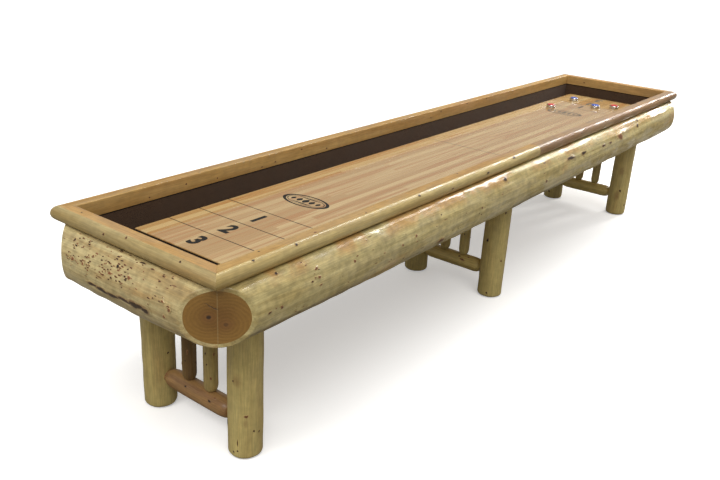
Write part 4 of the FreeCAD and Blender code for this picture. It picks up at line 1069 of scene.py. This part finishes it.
half_wide = (FIELD_HIGH.y - FIELD_LOW.y) / 2 - 0.0005
lines = []
for end in (-1, 1):
    for count in (1, 2, 3):
        x = end * (FIELD_HIGH.x - count * LINE_STEP)
        lines.append(film((x - 0.0021, -half_wide), (x + 0.0021, half_wide)))
face_up(build_piece("score_lines", lines, [BLACK_INK], "table"))
face_up(build_piece("centre_line", [film((0.018, -half_wide), (0.022, half_wide))], [GREY_INK], "table"))


DIGIT_SIZE, DIGIT_BOLD = 0.106, 0.0048


def lay_digit(name, text, x, towards, inks):
    """A bold digit with its top towards the middle of the table."""
    curve = bpy.data.curves.new(name, "FONT")
    curve.body, curve.size, curve.offset = text, DIGIT_SIZE, DIGIT_BOLD
    curve.align_x, curve.align_y = "CENTER", "CENTER"
    writer = bpy.data.objects.new(name + "_outline", curve)
    bpy.context.scene.collection.objects.link(writer)
    mesh = bpy.data.meshes.new_from_object(writer)
    bpy.data.objects.remove(writer)
    mesh.transform(Matrix.Translation((x, 0.008, PRINT_UP)) @ Matrix.Rotation(-towards * math.pi / 2, 4, "Z")
                   @ Matrix.Diagonal((0.92, 1.0, 1.0, 1.0)))
    mesh.name = name
    return face_up(dress(bpy.data.objects.new(name, mesh), [inks], "table"))


for end, label, inks in ((-1, "near", BLACK_INK), (1, "far", GREY_INK)):
    for zone, text in enumerate("321"):
        lay_digit(f"{label}_digit_{text}", text, end * (FIELD_HIGH.x - (zone + 0.5) * LINE_STEP), -end, inks)

for label, middle, inks in (("near", (-1.238, 0.018), BLACK_INK), ("far", (1.262, 0.010), GREY_INK)):
    grids = [oval_ring(middle, 0.116, 0.060, 0.86), oval_ring(middle, 0.095, 0.044, 0.95)]
    for step in (-2, -1, 0, 1, 2):
        size = 1 - 0.16 * abs(step)
        grids.append(leaf((middle[0], middle[1] + step * 0.033), 0.0155 * size, 0.021 * size))
    grids += [leaf((middle[0] + end * 0.0300, middle[1]), 0.058, 0.0042) for end in (-1, 1)]
    made = face_up(build_piece(f"{label}_oval_ornament", grids, [inks], "table"))
    print(made.name, len(made.data.polygons), "faces")

# %% [markdown]
# The gutter is lined with short-pile carpet glued to the boards. Each wall strip is a thin closed sheet whose
# inner face is roughened by chance, and the floor carpet is one ring with its opening under the slab.
# The colour and nap come from fine noise: dark roots, lighter tips, and a soft sheen. A painted shadow
# darkens the top of the wall pile just under the rail.

# %% Carpet
PILE_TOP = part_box("gutter_wall_carpets")[1].z


def pile_finish():
    material, tree, shader, place = new_material(
        "gutter_carpet_pile", Roughness=0.95, Sheen_Weight=0.06, Sheen_Roughness=0.5, Specular_IOR_Level=0.1)
    tufts = node(tree, "TexVoronoi", None, Vector=place, Scale=420.0).outputs["Distance"]
    fuzz = noise(tree, place, 950.0, 4, 0.7)
    patch = noise(tree, place, 9.0, 4, 0.6)
    colour = blend(tree, ease(tree, fuzz, 0.35, 0.70), (0.045, 0.023, 0.013, 1), (0.179, 0.101, 0.054, 1))
    colour = blend(tree, ease(tree, patch, 0.35, 0.70, 0.0, 0.45), colour, (0.085, 0.055, 0.036, 1))
    colour = blend(tree, ease(tree, tufts, 0.3, 0.8, 0.0, 0.5), colour, (0.020, 0.012, 0.008, 1))
    height = axes_of(tree, place)["Z"]
    # Painted shadow: the top few millimetres of wall pile under the rail's overhang are turned nearly black.
    painted_shadow_under_rail = ease(tree, height, PILE_TOP - 0.007, PILE_TOP - 0.003)
    colour = blend(tree, painted_shadow_under_rail, colour, (0.006, 0.004, 0.003, 1))
    plug(tree, shader["Base Color"], colour)
    relief(tree, shader, maths(tree, "SUBTRACT", fuzz, tufts), 0.0012)
    return material


PILE = pile_finish()
wall_low, wall_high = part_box("gutter_wall_carpets")
floor_low, floor_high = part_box("gutter_floor_carpet")
THICK = floor_high.z - floor_low.z
NAP = 0.0007
chance = np.random.default_rng(5)


def wall_strip(lengthwise, side, reach, outer, rows):
    """A thin upright section, carried along the wall: the inner face has the pile, the outer face is flat."""
    up = np.concatenate([np.linspace(wall_low.z, wall_high.z, 19), np.linspace(wall_high.z, wall_low.z, 3)])
    out = np.concatenate([np.full(19, outer - THICK), np.full(3, outer)])
    share, inset, size, _ = plan_rows(rows, 0.0004, THICK, 2)
    middle = (outer - THICK / 2, (wall_low.z + wall_high.z) / 2)
    pile = np.where(np.arange(22) < 19, 1, 0) * chance.uniform(0, NAP, (len(share), 22))
    out = middle[0] + (out[None, :] - middle[0]) * size + pile * (size >= 1)
    up = middle[1] + (up[None, :] - middle[1]) * size
    along = reach * (2 * share - 1) + inset
    return {"points": laid(lengthwise, side, along, out, up)}


strips = [wall_strip("X", side, wall_high.x, wall_high.y, 240) for side in (-1, 1)]
strips += [wall_strip("Y", side, wall_high.y - THICK, wall_high.x, 60) for side in (-1, 1)]
wall_carpet = build_piece("gutter_wall_pile", strips, [PILE], "table",
                          ["gutter_wall_carpets"])

LAP = 0.012


def floor_ring():
    """Runs round the rectangle: at each place the inner edge lies under the slab and the outer against the
    wall."""
    sides = np.array([(-1, -1), (1, -1), (1, 1), (-1, 1), (-1, -1)], float)
    counts = (200, 40, 200, 40)
    walk = np.concatenate([a + (b - a) * np.linspace(0, 1, n, endpoint=False)[:, None]
                           for a, b, n in zip(sides[:-1], sides[1:], counts)])
    inner = walk * (FIELD_HIGH.x - LAP, FIELD_HIGH.y - LAP)
    outer = walk * (floor_high.x, floor_high.y)
    across = np.concatenate([np.linspace(0, 1, 11), np.linspace(1, 0, 3)])
    up = np.concatenate([np.full(11, floor_high.z), np.full(3, floor_low.z)])
    flat = inner[None] + (outer - inner)[None] * across[:, None, None]
    pile = np.where(np.arange(14) < 11, 1, 0)[:, None] * chance.uniform(0, NAP, (14, len(walk)))
    return {"points": np.concatenate([flat, (up[:, None] - pile)[..., None]], axis=-1)}


ring = floor_ring()
ring["points"] = np.concatenate([ring["points"], ring["points"][:1]])
floor_carpet = build_piece("gutter_floor_pile", [ring], [PILE], "table",
                           ["gutter_floor_carpet"])

# %% [markdown]
# A shuffleboard weight is a chromed steel puck with a coloured plastic cap. Both are turned outlines, which
# lets the edges be rounded: a small radius on every edge is what makes metal look like metal.

# %% Weights
def steel_finish(name, tint, rough_low, rough_high):
    material, tree, shader, place = new_material(name, Metallic=1.0, Specular_IOR_Level=0.5)
    brushed = noise(tree, scaled(tree, place, (1, 1, 30)), 160.0, 4, 0.7)
    smudge = noise(tree, place, 60.0, 3)
    plug(tree, shader["Base Color"], blend(tree, ease(tree, smudge, 0.4, 0.75, 0.0, 0.5), tint, tuple(
        0.75 * c for c in tint[:3]) + (1,)))
    plug(tree, shader["Roughness"], ease(tree, brushed, 0.3, 0.7, rough_low, rough_high))
    relief(tree, shader, brushed, 0.00006)
    return material


def cap_finish(name, colour, dark):
    material, tree, shader, place = new_material(name, Coat_Weight=0.3, Coat_Roughness=0.22)
    cloud, scuff = noise(tree, place, 45.0, 3), noise(tree, scaled(tree, place, (1, 7, 1)), 240.0, 3, 0.7)
    plug(tree, shader["Base Color"], blend(tree, ease(tree, cloud, 0.35, 0.75, 0.0, 0.6), colour, dark))
    plug(tree, shader["Roughness"], ease(tree, scuff, 0.4, 0.75, 0.36, 0.52))
    relief(tree, shader, scuff, 0.00004)
    return material


CHROME = steel_finish("polished_steel", (0.68, 0.67, 0.65, 1), 0.10, 0.26)
CAPS = {"red": cap_finish("red_plastic", (0.50, 0.012, 0.012, 1), (0.30, 0.008, 0.010, 1)),
        "blue": cap_finish("blue_plastic", (0.015, 0.07, 0.42, 1), (0.010, 0.035, 0.26, 1))}


METAL_EDGE = 0.0003


def rounded(corners, radius):
    """Replaces each inner corner of an outline with three points a small radius away."""
    points = [corners[0]]
    for before, corner, after in zip(corners, corners[1:], corners[2:]):
        b, c, a = (np.array(p, float) for p in (before, corner, after))
        to_b, to_a = (b - c) / np.linalg.norm(b - c), (a - c) / np.linalg.norm(a - c)
        ends = c + to_b * radius, c + to_a * radius
        points += [ends[0], (ends[0] + ends[1]) / 4 + c / 2, ends[1]]
    return points + [corners[-1]]


for name in ("blue_weight_a", "red_weight_a", "blue_weight_b", "red_weight_b"):
    low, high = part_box(f"{name}_base")
    centre = ((low.x + high.x) / 2, (low.y + high.y) / 2, low.z)
    radius = (high.x - low.x) / 2
    base = [(0, 0.0008), (0.012, 0.0008), (0.014, 0), (radius - 0.001, 0), (radius, 0.0012), (radius, 0.0085),
            (radius - 0.0008, 0.0090), (radius - 0.0008, 0.0100), (radius, 0.0105), (radius, 0.0175),
            (radius - 0.0016, 0.019), (0.0242, 0.019), (0.0242, 0.0152), (0, 0.0152)]
    cap = [(0, 0.0154), (0.0238, 0.0154), (0.0238, 0.0204), (0.0208, 0.0228), (0.0176, 0.0228),
           (0.0166, 0.0220), (0.0045, 0.0220), (0.0038, 0.0214), (0, 0.0214)]
    colour = name.split("_")[0]
    build_piece(f"{name}_puck", [turned(rounded(base, METAL_EDGE), centre, "Z", 1, dent=0.0)[0]], [CHROME],
                name, [f"{name}_base"], sharp=50)
    build_piece(f"{name}_disc", [turned(rounded(cap, METAL_EDGE), centre, "Z", 1, dent=0.0)[0]],
                [CAPS[colour]], name, [f"{name}_cap"], sharp=50)
print("4 weights of", round(radius * 2000, 1), "mm")

# %% [markdown]
# The pieces under the table keep their CAD shape and get a finish: sawn softwood for the beams and bearers,
# birch plywood for the cabinet, with its layers showing on the edges, and zinc plate for the hardware.

# %% Hidden timbers and hardware
def sawn_wood(name, stretch, pale, deep):
    """Grain plus the faint cross lines that a saw leaves."""
    material, tree, shader, place = new_material(name, Specular_IOR_Level=0.3)
    wood = use(tree, grain, Place=place, Stretch=stretch, Fineness=0.8)
    small = use(tree, knots, Place=place, Stretch=(1.0, 1.0, 1.0), Cells=6.0, Share=0.12, Size=0.10)
    saw = noise(tree, scaled(tree, place, tuple(8.0 if s < 1 else 0.6 for s in stretch)), 60.0, 2)
    colour = blend(tree, ease(tree, wood["Band"], 0.35, 0.7), pale, deep)
    colour = blend(tree, ease(tree, wood["Fibre"], 0.45, 0.8, 0.0, 0.4), colour,
                   tuple(0.5 * c for c in deep[:3]) + (1,))
    colour = blend(tree, small["Core"], colour, KNOT_DARK)
    plug(tree, shader["Base Color"], colour)
    plug(tree, shader["Roughness"], ease(tree, saw, 0.3, 0.7, 0.62, 0.80))
    relief(tree, shader, maths(tree, "ADD", saw, wood["Fibre"]), 0.0004)
    return material


def plywood():
    """Thin layers follow height, so a level sheet shows them on its edges, and the faces show a slow
    figure."""
    material, tree, shader, place = new_material("birch_plywood", Specular_IOR_Level=0.3)
    wood = use(tree, grain, Place=place, Stretch=ALONG_X, Fineness=0.5)
    axes = axes_of(tree, place)
    layer = maths(tree, "FRACT", maths(tree, "DIVIDE", axes["Z"], 0.003))
    upright = axes_of(tree, node(tree, "NewGeometry").outputs["Normal"])["Z"]
    edge = ease(tree, maths(tree, "ABSOLUTE", upright), 0.3, 0.6, 1.0, 0.0)
    colour = blend(tree, ease(tree, wood["Band"], 0.35, 0.7), (0.60, 0.45, 0.27, 1), (0.46, 0.31, 0.17, 1))
    shade = times(tree, times(tree, edge, maths(tree, "LESS_THAN", layer, 0.45)), 0.4)
    colour = blend(tree, shade, colour, (0.25, 0.14, 0.07, 1))
    plug(tree, shader["Base Color"], colour)
    plug(tree, shader["Roughness"], ease(tree, wood["Fibre"], 0.3, 0.7, 0.5, 0.7))
    relief(tree, shader, wood["Fibre"], 0.0002)
    return material


FINISHES = {
    "frame_wood": sawn_wood("sawn_softwood", ALONG_Y, (0.58, 0.42, 0.22, 1), (0.44, 0.28, 0.12, 1)),
    "cabinet_plywood": plywood(),
    "dowel_wood": sawn_wood("beech_dowel", ALONG_Z, (0.55, 0.36, 0.20, 1), (0.45, 0.27, 0.14, 1)),
    "zinc_steel": steel_finish("zinc_plate", (0.55, 0.56, 0.56, 1), 0.28, 0.48),
}
for name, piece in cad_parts.items():
    for slot in piece.material_slots:
        if slot.material and slot.material.name in FINISHES:
            slot.material = FINISHES[slot.material.name]
print("finishes", sorted(FINISHES))

# %% [markdown]
# The floor is a plain pale sheet, marked as staging because it isn't part of the table. A real showroom floor
# is darker, so the light that it bounces up under the table is kept low, or the undersides would glow.

# %% Floor
def pale_floor():
    material, tree, shader, place = new_material("studio_floor", Specular_IOR_Level=0.1,
                                                 Emission_Strength=1.0)
    mottle = noise(tree, place, 3.0, 3)
    seen = node(tree, "LightPath").outputs["Is Camera Ray"]
    pale = blend(tree, mottle, (0.93, 0.93, 0.93, 1), (0.95, 0.95, 0.95, 1))
    plug(tree, shader["Base Color"], blend(tree, seen, (0.27, 0.25, 0.20, 1), pale))
    plug(tree, shader["Emission Color"], blend(tree, seen, (0, 0, 0, 1), (0.34, 0.34, 0.34, 1)))
    plug(tree, shader["Roughness"], ease(tree, mottle, 0.3, 0.7, 0.85, 0.95))
    return material


reach = np.linspace(-60, 60, 5)
floor_points = np.stack(np.broadcast_arrays(reach[None, :], reach[:, None], 0.0), axis=-1)
floor_mesh = bpy.data.meshes.new("studio_floor")
floor_mesh.from_pydata(floor_points.reshape(-1, 3).tolist(), [], grid_faces(5, 5, False).tolist())
floor = bpy.data.objects.new("studio_floor", floor_mesh)
bpy.context.scene.collection.objects.link(floor)
floor.data.materials.append(pale_floor())
floor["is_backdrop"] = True
print("floor laid")

# %% [markdown]
# Last, both boxes are written down, the CAD's and the dressed table's, so that a size mistake can't hide.

# %% Sizes and finish
low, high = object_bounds()
print("grown by", [round(1000 * (a - b), 2) for a, b in zip((*cad_low, *high), (*low, *cad_high))], "mm")
